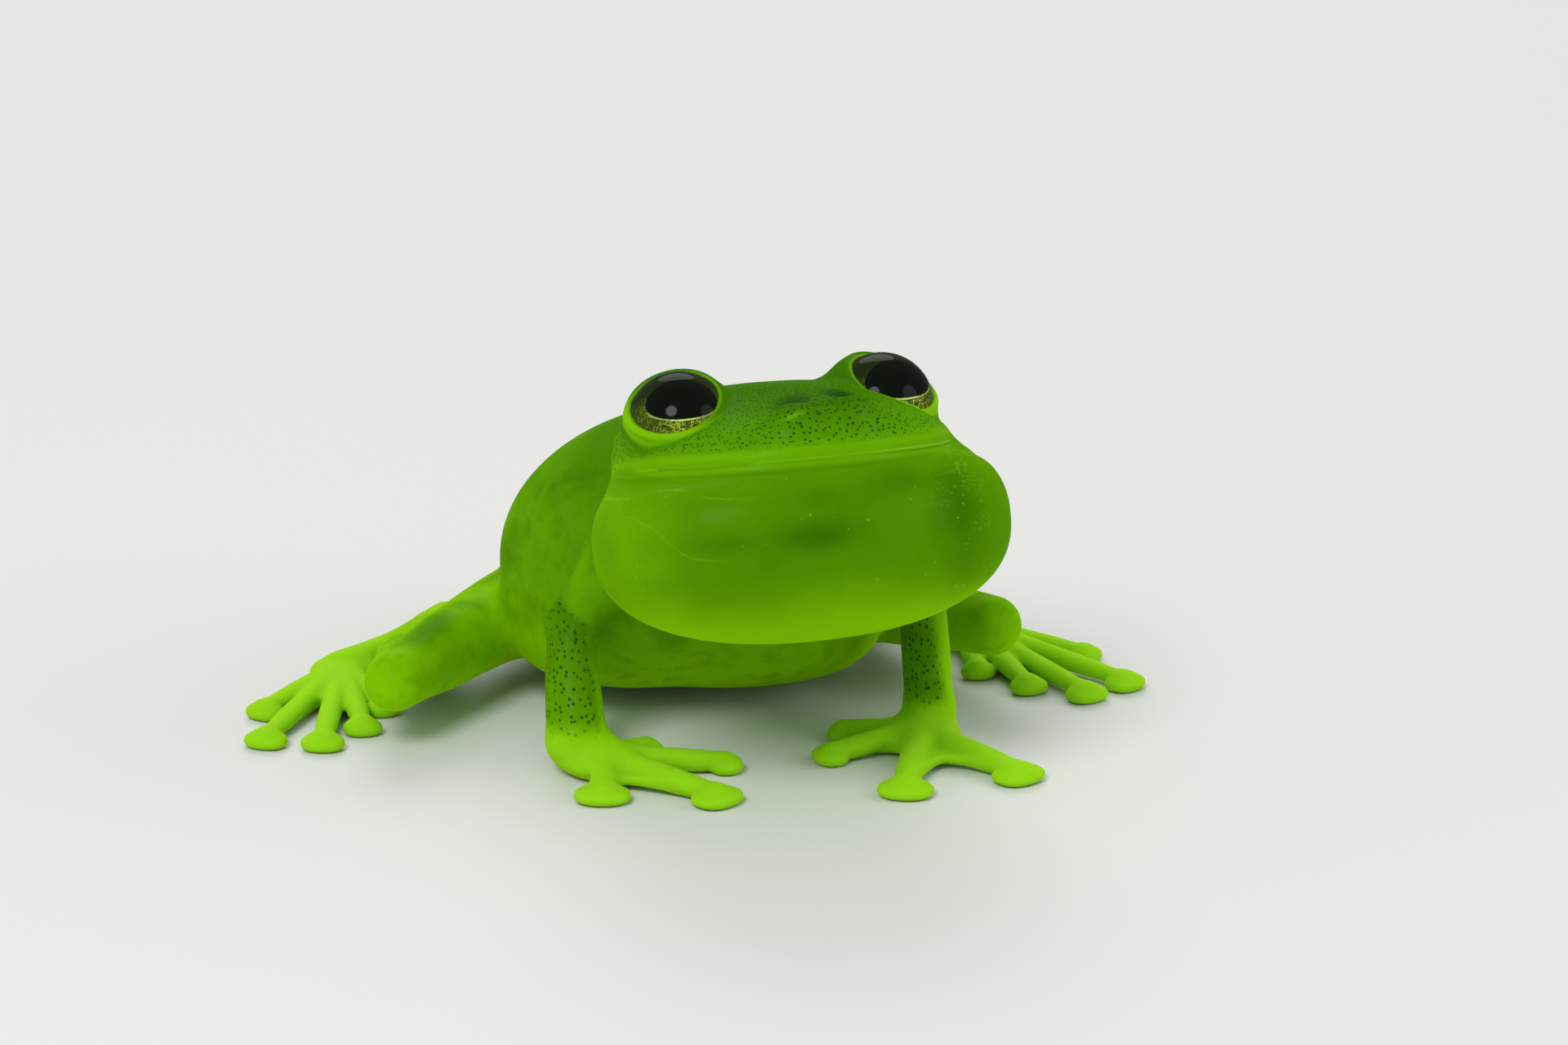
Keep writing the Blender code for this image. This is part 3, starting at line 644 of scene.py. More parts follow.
def face_details(side):
    opening = eye_frame(side, OPENING_AXIS)
    centre = eye_place(side)
    slope = np.array((0.35, -0.35, 0.87))
    scoop_centre = np.array((2.75, 2.35, BEFORE_EYE[side])) + slope * SCOOP_RADIUS
    scoop = egg_form(mirrored(scoop_centre, side), (SCOOP_RADIUS,) * 3, 1.3, frame=HEAD, cut=True)
    orbit = egg_form(centre + (0.0, 0.04, -0.06), (ORBIT_RADIUS,) * 3, 0.3, frame=HEAD)
    brow_centre = centre + mirrored((-0.15, 0.45, 0.0), side)
    brow = egg_form(brow_centre, (BROW_RADIUS,) * 3, 0.4, frame=HEAD)

    def in_front(x, y, z):
        return np.maximum(LID_PLANE - z, np.sqrt(x * x + y * y + z * z) - ORBIT_RADIUS - 0.1)

    def fold(line, depth, width, ends=0.0):
        return crease([mirrored(p, side) for p in line], depth, width, HEAD, ends)

    reach = ORBIT_RADIUS + 0.1
    cut = Form(in_front, (-reach, -reach, LID_PLANE), (reach, reach, reach), 0.1, opening, cut=True)
    lid_place = opening.inner((0, 0, LID_PLANE - 0.04))
    lids = Form(lid_measure(side), (-1.6, -1.6, -0.15), (1.6, 1.6, 0.15), 0.08, lid_place)
    bag = ring(1.6, lambda across, upward: -0.25 * fade(upward, -0.5, 0.2))
    bag_place = opening.inner((0, 0, LID_PLANE - 0.5))
    under_lid = Press(bag, (-1.7, -1.7, -0.1), (1.7, 1.7, 0.1), 0.07, 0.14, bag_place)
    mound = egg_form(mirrored(NOSTRIL + (0.2, 0.0, -0.44), side), (0.34, 0.34, 0.3), 0.5, frame=HEAD)
    rim = fold(NOSTRIL_RIM, -0.04, 0.13, 0.1)
    hollow = fold(NOSTRIL_HOLLOW, 0.12, 0.2, 0.1)
    pit = fold(NOSTRIL_PIT, 0.06, 0.1)
    neck_fold = fold(NECK_FOLD, 0.06, 0.1, 0.05)
    ear_fold = fold(EAR_FOLD, -0.08, 0.25, 0.15)
    ear_place = HEAD.inner(mirrored(EAR, side), axes_about((side, 0.2, 0.1), (0, 0, -1)))
    ear_reach = np.array((EAR_RADIUS + 0.1, EAR_RADIUS + 0.1, 0.4))
    ear = Press(ring(EAR_RADIUS, 0.0), -ear_reach, ear_reach, -0.06, 0.12, ear_place)
    return [scoop, brow, orbit, cut, lids, under_lid, mound, rim, hollow, pit, ear_fold, neck_fold, ear]


def floor_form():
    def under(x, y, z):
        return z

    return Form(under, (-16, -16, -2), (16, 16, 0.02), 0.08, cut=True)


def all_groups():
    """The forms in the order they are worked: the body, the head and sac, then what shapes them both."""
    body = trunk_forms()
    for side in (LEFT, RIGHT):
        body += leg_forms(side) + arm_forms(side)
    details = []
    for side in (LEFT, RIGHT):
        details += face_details(side) + hand_forms(side) + foot_forms(side)
        for line in SHOULDER_FOLDS:
            details.append(crease([mirrored(p, side) for p in line], 0.05, 0.13, ends=0.15))
    details.append(mouth_crease(0.03, 0.05))
    details.append(floor_form())
    return body, head_forms(), details


GROUPS = all_groups()


def grid_window(axes):
    def window(low, high):
        cut = tuple(slice(*np.searchsorted(axis, pair)) for axis, pair in zip(axes, zip(low, high)))
        return cut, np.ix_(*(axis[c] for axis, c in zip(axes, cut)))

    return window


def loose_window(points):
    def window(low, high):
        near = np.flatnonzero(((points > low) & (points < high)).all(axis=1))
        return near, points[near].T

    return window


def laid(shape, window, forms, field=None):
    field = np.full(shape, FAR, dtype=np.float32) if field is None else field
    for form in forms:
        where, place = window(form.low, form.high)
        if field[where].size:
            field[where] = form.work(field[where], place)
    return field


def distance(shape, window, heights):
    """How far each place lies outside the skin."""
    body, head, details = GROUPS
    nape = fade(heights, 7.4, 9.2)
    field = soft_least(laid(shape, window, body), laid(shape, window, head), 0.16 + 0.8 * nape)
    return laid(shape, window, details, field)


def distance_at(points):
    return distance(len(points), loose_window(points), points[:, 2])


# The net over the skin


def first_net(low, high, step):
    """A net of quads over the skin, from a grid of distances."""
    axes = [np.arange(a, b, step, dtype=np.float32) for a, b in zip(low, high)]
    field = distance(tuple(len(a) for a in axes), grid_window(axes), axes[2][None, None, :])
    inside = field < 0
    cells = tuple(n - 1 for n in field.shape)
    offsets = list(product((0, 1), repeat=3))

    def shifted(array, offset):
        return array[tuple(slice(o, o + c) for o, c in zip(offset, cells))]

    count = sum(shifted(inside, o).astype(np.uint8) for o in offsets)
    crossed = (count > 0) & (count < 8)
    number = np.full(cells, -1, dtype=np.int32)
    number[crossed] = np.arange(crossed.sum())
    where = np.argwhere(crossed)
    corner_values = {o: field[tuple((where + o).T)] for o in offsets}
    total = np.zeros((len(where), 3))
    hits = np.zeros(len(where))
    for first, axis in product(offsets, range(3)):
        if first[axis]:
            continue
        second = tuple(1 if i == axis else f for i, f in enumerate(first))
        a, b = corner_values[first], corner_values[second]
        hit = (a < 0) != (b < 0)
        share = np.where(hit, a / np.where(hit, a - b, 1), 0)
        spot = np.array(first) + share[:, None] * np.eye(3)[axis]
        total[hit] += spot[hit]
        hits += hit
    origin = np.array([a[0] for a in axes])
    points = origin + (where + total / hits[:, None]) * step
    quads = []
    for axis in range(3):
        lower = tuple(slice(0, -1) if i == axis else slice(1, -1) for i in range(3))
        upper = tuple(slice(1, None) if i == axis else slice(1, -1) for i in range(3))
        change = inside[lower] != inside[upper]
        spots = np.argwhere(change) + [0 if i == axis else 1 for i in range(3)]
        starts_inside = inside[tuple(spots.T)]
        one, two = np.eye(3, dtype=int)[(axis + 1) % 3], np.eye(3, dtype=int)[(axis + 2) % 3]
        around = [number[tuple((spots - s).T)] for s in (0 * one, one, one + two, two)]
        quad = np.stack(around, axis=1)
        quads.append(np.where(starts_inside[:, None], quad, quad[:, ::-1]))
    return points, np.concatenate(quads)


def settled(points, rounds=3, probe=0.008):
    """Moves each point straight onto the skin's surface."""
    points = points.astype(np.float64)
    for _ in range(rounds):
        here = distance_at(points)
        slope = np.empty_like(points)
        for axis in range(3):
            step = np.eye(3)[axis] * probe
            slope[:, axis] = (distance_at(points + step) - distance_at(points - step)) / (2 * probe)
        steepness = np.maximum((slope**2).sum(axis=1), 0.2)
        move = -slope * (here / steepness)[:, None]
        length = np.linalg.norm(move, axis=1, keepdims=True)
        points = points + move * np.minimum(1, 0.08 / np.maximum(length, TINY))
    return points


def side_keys(quads, count):
    """A number for each side of each quad, the same in both quads that share the side."""
    ends = np.sort(np.stack((quads, np.roll(quads, -1, axis=1)), axis=2), axis=2)
    return ends[..., 0].astype(np.int64) * count + ends[..., 1]


class Net:
    """The skin's points and faces: quads, and the faces of more sides round a refined place."""

    def __init__(self, points, quads):
        self.points, self.quads, self.borders = points, quads, []

    def refine(self, chosen):
        """Splits the chosen quads in four; their neighbours take the new points into their edges."""
        count = len(self.points)
        picked, others = self.quads[chosen], self.quads[~chosen]
        keys = side_keys(picked, count)
        unique, place = np.unique(keys, return_inverse=True)
        place = place.reshape(keys.shape)
        middles = (self.points[unique // count] + self.points[unique % count]) / 2
        centres = self.points[picked].mean(axis=1)
        middle_ids = count + place
        centre_ids = count + len(unique) + np.arange(len(picked))
        rings = ((picked[:, i], middle_ids[:, i], centre_ids, middle_ids[:, i - 1]) for i in range(4))
        small = [np.stack(ring, axis=1) for ring in rings]
        other_keys = side_keys(others, count)
        found = np.minimum(np.searchsorted(unique, other_keys), len(unique) - 1)
        split = unique[found] == other_keys
        touched = split.any(axis=1)
        for corners, marks, ids in zip(others[touched], split[touched], found[touched]):
            face = []
            for corner, mark, i in zip(corners, marks, ids):
                face.append(int(corner))
                if mark:
                    face.append(count + int(i))
            self.borders.append(face)
        self.points = np.concatenate((self.points, middles, centres))
        self.quads = np.concatenate((others[~touched], *small))

    def mesh(self, name):
        sizes = [4] * len(self.quads) + [len(face) for face in self.borders]
        corners = np.concatenate([self.quads.ravel(), *(np.array(face) for face in self.borders)])
        return new_mesh(name, self.points, corners, sizes)


def new_mesh(name, points, corners, sizes):
    mesh = bpy.data.meshes.new(name)
    mesh.vertices.add(len(points))
    mesh.vertices.foreach_set("co", in_frame(points).astype(np.float32).ravel())
    mesh.loops.add(len(corners))
    mesh.loops.foreach_set("vertex_index", np.asarray(corners, dtype=np.int32))
    mesh.polygons.add(len(sizes))
    starts = np.concatenate(([0], np.cumsum(sizes)[:-1])).astype(np.int32)
    mesh.polygons.foreach_set("loop_start", starts)
    mesh.update(calc_edges=True)
    mesh.validate()
    mesh.shade_smooth()
    return mesh


# From the frog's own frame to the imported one: an eye's centre is known in both.
SHIFT = np.sum(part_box("eye_left"), axis=0) / 2 / MM - HEAD.outward(eye_place(LEFT))


def in_frame(points):
    """Millimetres in the frog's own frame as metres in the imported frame."""
    return (np.asarray(points) + SHIFT) * MM


def apart(place, centre):
    return np.sqrt(sum((v - c) ** 2 for v, c in zip(place, centre)))


def skin_net():
    net = Net(*first_net(*SKIN_BOX, FINE_STEP * (1)))
    net.points = settled(net.points)
    x, y, z = HEAD.local(*net.points[net.quads].mean(axis=1).T)
    net.refine((y < 7.5) & (z > -5.5) & (np.abs(x) < 6.2) & (z < 4))
    x, y, z = HEAD.local(*net.points[net.quads].mean(axis=1).T)
    near_eye = np.minimum(*(apart((x, y, z), eye_place(side)) for side in SIDES)) < 1.85
    near_nostril = apart((np.abs(x), y, z), NOSTRIL) < 0.75
    near_mouth = (np.abs(z) < 0.45) & (np.abs(outline_gap(x, y)) < 0.4) & (y < MOUTH_CORNER + 1)
    net.refine((near_eye | near_nostril | near_mouth) & (y < 7.2))
    net.points = settled(net.points, 2, 0.004)
    return net


# Marks on the skin: how far each kind of skin reaches, from 0 to 1 at every point of the net


# Veins on the sac, and soft dark patches on it that are painted shade, the body's shadows seen through the
# sac: across, up, half width, half height, strength.
SAC_VEINS = {
    "vein_above": (
        *((-5.6, -0.6), (-5.2, -0.52), (-4.2, -0.3), (-3.8, -0.39)),
        *((-3.5, -0.63), (-1.9, -0.67), (2.6, -0.6), (4.0, -0.36)),
    ),
    "vein_below": ((-5.3, -0.93), (-4.85, -1.34), (-4.1, -2.16), (-2.1, -2.38), (-1.0, -2.2)),
}
SAC_PATCHES = (
    (-0.8, -1.87, 0.9, 0.4, 0.75),
    (-3.3, -1.85, 1.4, 0.35, 0.4),
    (-0.7, -0.8, 0.5, 0.3, 0.3),
    (1.65, -0.6, 1.2, 0.4, 0.5),
    (3.4, -1.5, 0.8, 1.3, 0.9),
    (-2.2, -2.5, 0.5, 0.3, 0.25),
    (-3.5, -3.45, 0.7, 0.25, 0.25),
    (-0.4, -3.65, 1.8, 0.3, 0.35),
    (-0.2, -1.4, 2.6, 1.1, 0.35),
)
# The middle of the painted shade in each nostril's hollow.
NOSTRIL_SHADE = NOSTRIL + (0.04, 0.4, -0.05)
THIGH_SHADE = np.array((-7.95, -0.1, 3.0))  # painted shade: a soft dark place on the right thigh
THIGH_WAY = np.array((-0.645, -0.764, 0.03))
ARM_TOP = 4.4
FOREARM_DOTS = {RIGHT: (0.2, 0.5), LEFT: (-0.2, 0.2)}  # how far the dots reach across from an elbow

# Marks that hold lengths are divided by these, and the finishes multiply them again.
ACROSS_SCALE = 6.0
PLACE_SCALE = 9.0
HEIGHT_SCALE = 12.0


def bell(value, width):
    """1 at 0, dying away smoothly on both sides."""
    return np.exp(-((value / width) ** 2))


def mouth_marks(x, y, z):
    gap = outline_gap(x, y)
    above = z - mouth_height(y)
    behind = fade(y, 4.4, 5.6)
    near_rim = fade(gap, -1.0, -0.3)
    in_front = 1 - fade(y, 5.2, 5.8)
    lips = fade(z, -0.3, 0.1) * (1 - fade(above, 0.25, 0.6)) * (1 - fade(y, 5.4, 6.1))
    edges = bell(above - 0.03, 0.03) - bell(above + 0.03, 0.03)
    return {
        "lips": lips * near_rim * (1 - fade(gap, 0.1, 0.45)),
        # Painted shade in the crease where the sac meets the jaw.
        "crease": bell(z + 0.06, 0.07) * near_rim * in_front * (1 - fade(x, 2.6, 3.6)),
        # Painted highlight just above the mouth's line, and painted shade along the line just below it.
        "mouth": edges * in_front * (0.3 + 0.7 * fade(x, 0.5, 2.5)) * (1 - fade(gap, 0.12, 0.25)),
        "spotted": fade(above, 0.32 - 0.8 * behind, 0.5 - 0.6 * behind) * (1 - fade(y, 5.8, 7.2)),
    }


def sac_marks(x, y, z, points):
    raised = 0.5 * fade(outline_gap(x, y), 0.1, 0.45)
    sac = (1 - fade(z - raised, -0.35, -0.05)) * (1 - fade(y, 6.2, 7.2))
    marks = {
        "sac": sac * (1 - fade(points[:, 1], -5.4, -4.2)) * fade(points[:, 2], 3.2, 4.2),
        # Painted shade: soft dark patches on the sac, the shadows of the body behind it.
        "shade": sum(s * bell(x - a, w) * bell(z - h, t) for a, h, w, t, s in SAC_PATCHES),
        # Painted light: the sac brighter towards its right side and its lower part, as if lit through from
        # below.
        "glow": 0.35 * fade(-x - 0.2 * z, 3.0, 6.0) + 0.95 * fade(-z - 0.1 * np.abs(x), 2.2, 4.7),
    }
    for name, line in SAC_VEINS.items():
        line = np.array(bent([(a, 0, h) for a, h in line]))
        marks[name] = np.interp(x, line[:, 0], line[:, 2], left=FAR, right=FAR) - z
    return marks


def eye_marks(points):
    lids, sockets, rims = (np.zeros(len(points)) for _ in range(3))
    for side in SIDES:
        across, up, out = eye_frame(side, OPENING_AXIS).local(*points.T)
        wide = np.hypot(across, up) + TINY
        ball = np.hypot(wide, out)
        lower = fade((0.45 * side * across - 0.9 * up) / wide, -0.2, 0.7) * (1 - fade(wide, 1.42, 1.58))
        edge = 0.45 * (1 - fade(wide, 1.27, 1.33))
        beyond = fade(wide, LID_EDGE - 0.06, LID_EDGE)
        lids = np.maximum(lids, fade(out, 0.3, 0.5) * beyond * np.maximum(lower, edge))
        # Painted shade: the skin in a ring round each eye's opening is painted darker.
        rims = np.maximum(rims, (1 - fade(ball, 1.6, 1.9)) * fade(out, -0.4, 0.6))
        # Painted shade: the skin inside each lid opening, round the eyeball.
        sockets = np.maximum(sockets, fade(out, 0.4, 0.6) * (1 - fade(wide, LID_EDGE - 0.05, LID_EDGE)))
    return {"lids": lids, "sockets": sockets, "rims": rims}


def crown_marks(x, y, z):
    across, back, up = (v - n for v, n in zip((np.abs(x), y, z), NOSTRIL_SHADE))
    edge = z - 1.36 - 0.25 * (x + 0.95)
    return {
        # Painted shade in the hollow at each nostril.
        "painted_nostril_shade": bell(across, 0.57) * bell(back, 0.65) * bell(up, 0.32),
        # Painted highlight: a pale lit edge along the lower rim of the right nostril's mound.
        "rim": bell(x + 0.95, 0.3) * bell(edge, 0.07) * (1 - fade(y, 0.6, 1.0)),
        # Painted shade: the head is painted darker higher up on its crown; the crown also gets a second,
        # closer set of dots.
        "crown": fade(z, 0.6, 2.1) * (1 - fade(y, 5.6, 7.6)),
        "head_across": x / ACROSS_SCALE,
    }


def dot_marks(x, y, z, points):
    """Places for the dots, round and down the head and the forearms, and how far the forearms have them."""
    around = 4.7 * np.arctan2(x, HEAD_FRONT - y)
    down = z + 3.8 * (1 - np.hypot(x / HEAD_HALF_WIDTH, (y - HEAD_FRONT) / HEAD_FRONT))
    across, along, height = points.T
    on_arm = height < ARM_TOP
    forearms = np.zeros(len(points))
    for side, dots_end in FOREARM_DOTS.items():
        elbow, wrist = (np.array(ARMS[side][k]) for k in ("elbow", "wrist"))
        share = (height - wrist[2]) / (elbow[2] - wrist[2])
        axis_x, axis_y = (wrist[i] + share * (elbow[i] - wrist[i]) for i in (0, 1))
        turn = 0.8 * np.arctan2(across - axis_x, axis_y - along)
        around = np.where(on_arm & (across * side > 0), turn, around)
        arm = (1 - fade(rod([elbow, wrist], (0.7, 0.7))(*points.T), 0.1, 0.3)) * fade(height, 1.1, 1.5)
        forearms = np.maximum(forearms, arm * (1 - fade(across - elbow[0], *dots_end)))
    down = np.where(on_arm, height, down)
    return {"around": around / PLACE_SCALE, "down": down / PLACE_SCALE, "forearms": forearms}


def body_marks(points):
    along = (points - THIGH_SHADE) @ THIGH_WAY
    aside = np.linalg.norm(points - THIGH_SHADE - along[:, None] * THIGH_WAY, axis=1)
    x, y, z = points.T
    return {
        "thigh": np.exp(-((along / 1.25) ** 4)) * bell(aside, 0.6),
        "hands": (1 - fade(z, 0.75, 1.6)) * fade(np.hypot(x / 5.0, (y - 3.0) / 6.5), 0.8, 1.0),
        # Height, for the painted light from below: the skin is painted brighter low down and darker higher
        # up.
        "height": z / HEIGHT_SCALE,
    }


def skin_marks(points):
    place = HEAD.local(*points.T)
    marks = mouth_marks(*place) | crown_marks(*place) | sac_marks(*place, points)
    return marks | eye_marks(points) | dot_marks(*place, points) | body_marks(points)


def add_marks(mesh, marks):
    for name, values in marks.items():
        mark = mesh.attributes.new(name, "FLOAT", "POINT")
        mark.data.foreach_set("value", np.asarray(values, dtype=np.float32))


# Finishes


def operator(operation):
    """A method of Value that adds the Math node of an operation."""
    return lambda value, other: value.maths(operation, value, other)


class Value:
    """A number that varies over a surface; sums and products of such numbers add the nodes for them."""

    def __init__(self, finish, socket):
        self.finish, self.socket = finish, socket

    def maths(self, operation, first, second=0.0):
        node = self.finish.node("ShaderNodeMath", {"operation": operation}, {0: first, 1: second})
        return Value(self.finish, node.outputs[0])

    __add__ = __radd__ = operator("ADD")
    __sub__ = operator("SUBTRACT")
    __mul__ = __rmul__ = operator("MULTIPLY")
    __truediv__ = operator("DIVIDE")
    __pow__ = operator("POWER")
    at_least = operator("MAXIMUM")

    def __rsub__(self, other):
        return self.maths("SUBTRACT", other, self)

    def __abs__(self):
        return self.maths("ABSOLUTE", self)

    def step(self, low, high):
        """0 below low, 1 above high and a smooth step between; falls instead where low is the larger."""
        low, high, start = (low, high, 0.0) if low < high else (high, low, 1.0)
        ends = {"From Min": low, "From Max": high, "To Min": start, "To Max": 1 - start}
        settings = {"interpolation_type": "SMOOTHSTEP"}
        node = self.finish.node("ShaderNodeMapRange", settings, {"Value": self, **ends})
        return Value(self.finish, node.outputs["Result"])


class Finish:
    """A material and its nodes."""

    def __init__(self, name, **constants):
        self.material = bpy.data.materials.new(name)
        self.material.use_nodes = True
        self.tree = self.material.node_tree
        self.surface = self.tree.nodes["Principled BSDF"]
        self.paint(**constants)
        self.places = self.node("ShaderNodeTexCoord").outputs["Object"]

    def node(self, kind, settings=None, sockets=None):
        node = self.tree.nodes.new(kind)
        for key, value in (settings or {}).items():
            setattr(node, key, value)
        for key, value in (sockets or {}).items():
            self.set(node.inputs[key], value)
        return node

    def set(self, socket, value):
        if isinstance(value, Value):
            value = value.socket
        if isinstance(value, bpy.types.NodeSocket):
            self.tree.links.new(value, socket)
        elif socket.type == "RGBA" and len(value) == 3:
            socket.default_value = (*value, 1.0)
        else:
            socket.default_value = value

    def mark(self, name):
        node = self.node("ShaderNodeAttribute", {"attribute_name": name})
        return Value(self, node.outputs["Fac"])

    def noise(self, size, detail=2.0, place=None):
        """Soft cloudy variation from 0 to 1, with features of the given size in millimetres."""
        sockets = {"Vector": place or self.places, "Scale": 1 / (size * MM), "Detail": detail}
        return Value(self, self.node("ShaderNodeTexNoise", {}, sockets).outputs["Fac"])

    def cells(self, size, feature="F1", place=None, axes="3D"):
        """Irregular cells of the given size in millimetres; distances come in cells."""
        sockets = {"Vector": place or self.places, "Scale": 1 / (size * MM), "Randomness": 0.9}
        node = self.node("ShaderNodeTexVoronoi", {"feature": feature, "voronoi_dimensions": axes}, sockets)
        return Value(self, node.outputs["Distance"])

    def stretched(self, factors):
        """Places drawn together along some axes, so that features grow long there."""
        settings = {"operation": "MULTIPLY"}
        return self.node("ShaderNodeVectorMath", settings, {0: self.places, 1: factors}).outputs[0]

    def parts(self, vector):
        node = self.node("ShaderNodeSeparateXYZ", {}, {"Vector": vector})
        return [Value(self, node.outputs[i]) for i in range(3)]

    def mix(self, share, first, second):
        """A colour mixed from two; the share counts for the second."""
        return self.node("ShaderNodeMix", {"data_type": "RGBA"}, {0: share, 6: first, 7: second}).outputs[2]

    def paint(self, **sockets):
        for socket, value in sockets.items():
            self.set(self.surface.inputs[socket.replace("_", " ")], value)

    def bump(self, height, depth):
        """Relief: a height from 0 to 1 stands for the given depth in millimetres."""
        node = self.node("ShaderNodeBump", {}, {"Height": height, "Distance": depth * MM})
        self.set(self.surface.inputs["Normal"], node.outputs["Normal"])


# The greens from belly up to back and crown grow darker: painted light from below, brighter low down and
# painted shade higher up.
BELLY_GREEN = (0.23, 0.56, 0.001)
FLANK_GREEN = (0.11, 0.32, 0.001)
BACK_GREEN = (0.045, 0.165, 0.0005)
CROWN_GREEN = (0.038, 0.145, 0.0005)
CHEEK_GREEN = (0.08, 0.28, 0.001)
SAC_GREEN = (0.08, 0.25, 0.0005)
# Painted shade and painted light on the sac: the shade for the body's shadows behind it, the glow for its
# lower part and right side, as if lit through from below.
SAC_SHADE = (0.04, 0.15, 0.0005)
SAC_GLOW = (0.22, 0.55, 0.001)
LIP_GREEN = (0.14, 0.4, 0.001)
LID_GREEN = (0.18, 0.47, 0.002)
HAND_GREEN = (0.27, 0.6, 0.01)
DOT_GREEN = (0.008, 0.05, 0.003)
FLECK_GREEN = (0.26, 0.55, 0.02)
VEIN_GREEN = (0.2, 0.48, 0.01)
# Painted shade inside the lid openings, round the eyeballs.
SOCKET_SHADE = (0.012, 0.04, 0.001)
# Painted shade in the nostrils' hollows.
NOSTRIL_SHADE_GREEN = (0.01, 0.05, 0.001)
PUPIL_BLACK = (0.0015, 0.004, 0.001)
PUPIL_RIM = (0.75, 0.85, 0.25)
IRIS_DARK = (0.01, 0.03, 0.001)
IRIS_BROWN = (0.035, 0.07, 0.003)
IRIS_SHADE = (0.004, 0.012, 0.001)  # under the upper lid
IRIS_NET = (0.6, 0.72, 0.06)
FLOOR_GREY = (0.72, 0.72, 0.7)


def sac_colour(skin):
    """Thin stretched skin: soft dark patches of painted shade, painted light towards its lower part and
    right side, pale veins, flecks, and fine lines where it is tightest.
    """
    across = skin.mark("head_across") * ACROSS_SCALE
    # Painted shade: soft dark patches over the sac.
    shade = skin.mark("shade") + (skin.noise(1.1, 2.0) - 0.5) * 0.5
    colour = skin.mix(shade.step(-0.1, 1.1), SAC_GREEN, SAC_SHADE)
    # Painted light: the sac's lower part and right side painted brighter.
    glow = skin.mark("glow") + (skin.noise(1.6, 1.0) - 0.5) * 0.3
    colour = skin.mix(glow.step(0.0, 1.1), colour, SAC_GLOW)
    wander = (skin.noise(0.45, 2.0) - 0.5) * 0.16
    ends = {
        "vein_above": across.step(-1.6, -2.6).at_least(across.step(2.7, 3.2)),
        "vein_below": across.step(-2.2, -3.2),
    }
    for name, shown in ends.items():
        line = abs(skin.mark(name) + wander).step(0.035, 0.006)
        colour = skin.mix(line * shown * skin.noise(0.8).step(0.3, 0.6) * 0.3, colour, VEIN_GREEN)
    flecks = skin.cells(0.3).step(0.13, 0.07) * skin.noise(0.8).step(0.42, 0.6)
    colour = skin.mix(flecks * 0.5, colour, FLECK_GREEN)
    lines = skin.cells(0.085, place=skin.stretched((0.25, 1.0, 1.0))).step(0.45, 0.2)
    tight = across.step(2.0, 3.6) * skin.noise(0.9).step(0.45, 0.65)
    return skin.mix(lines * tight * 0.35, colour, FLECK_GREEN)


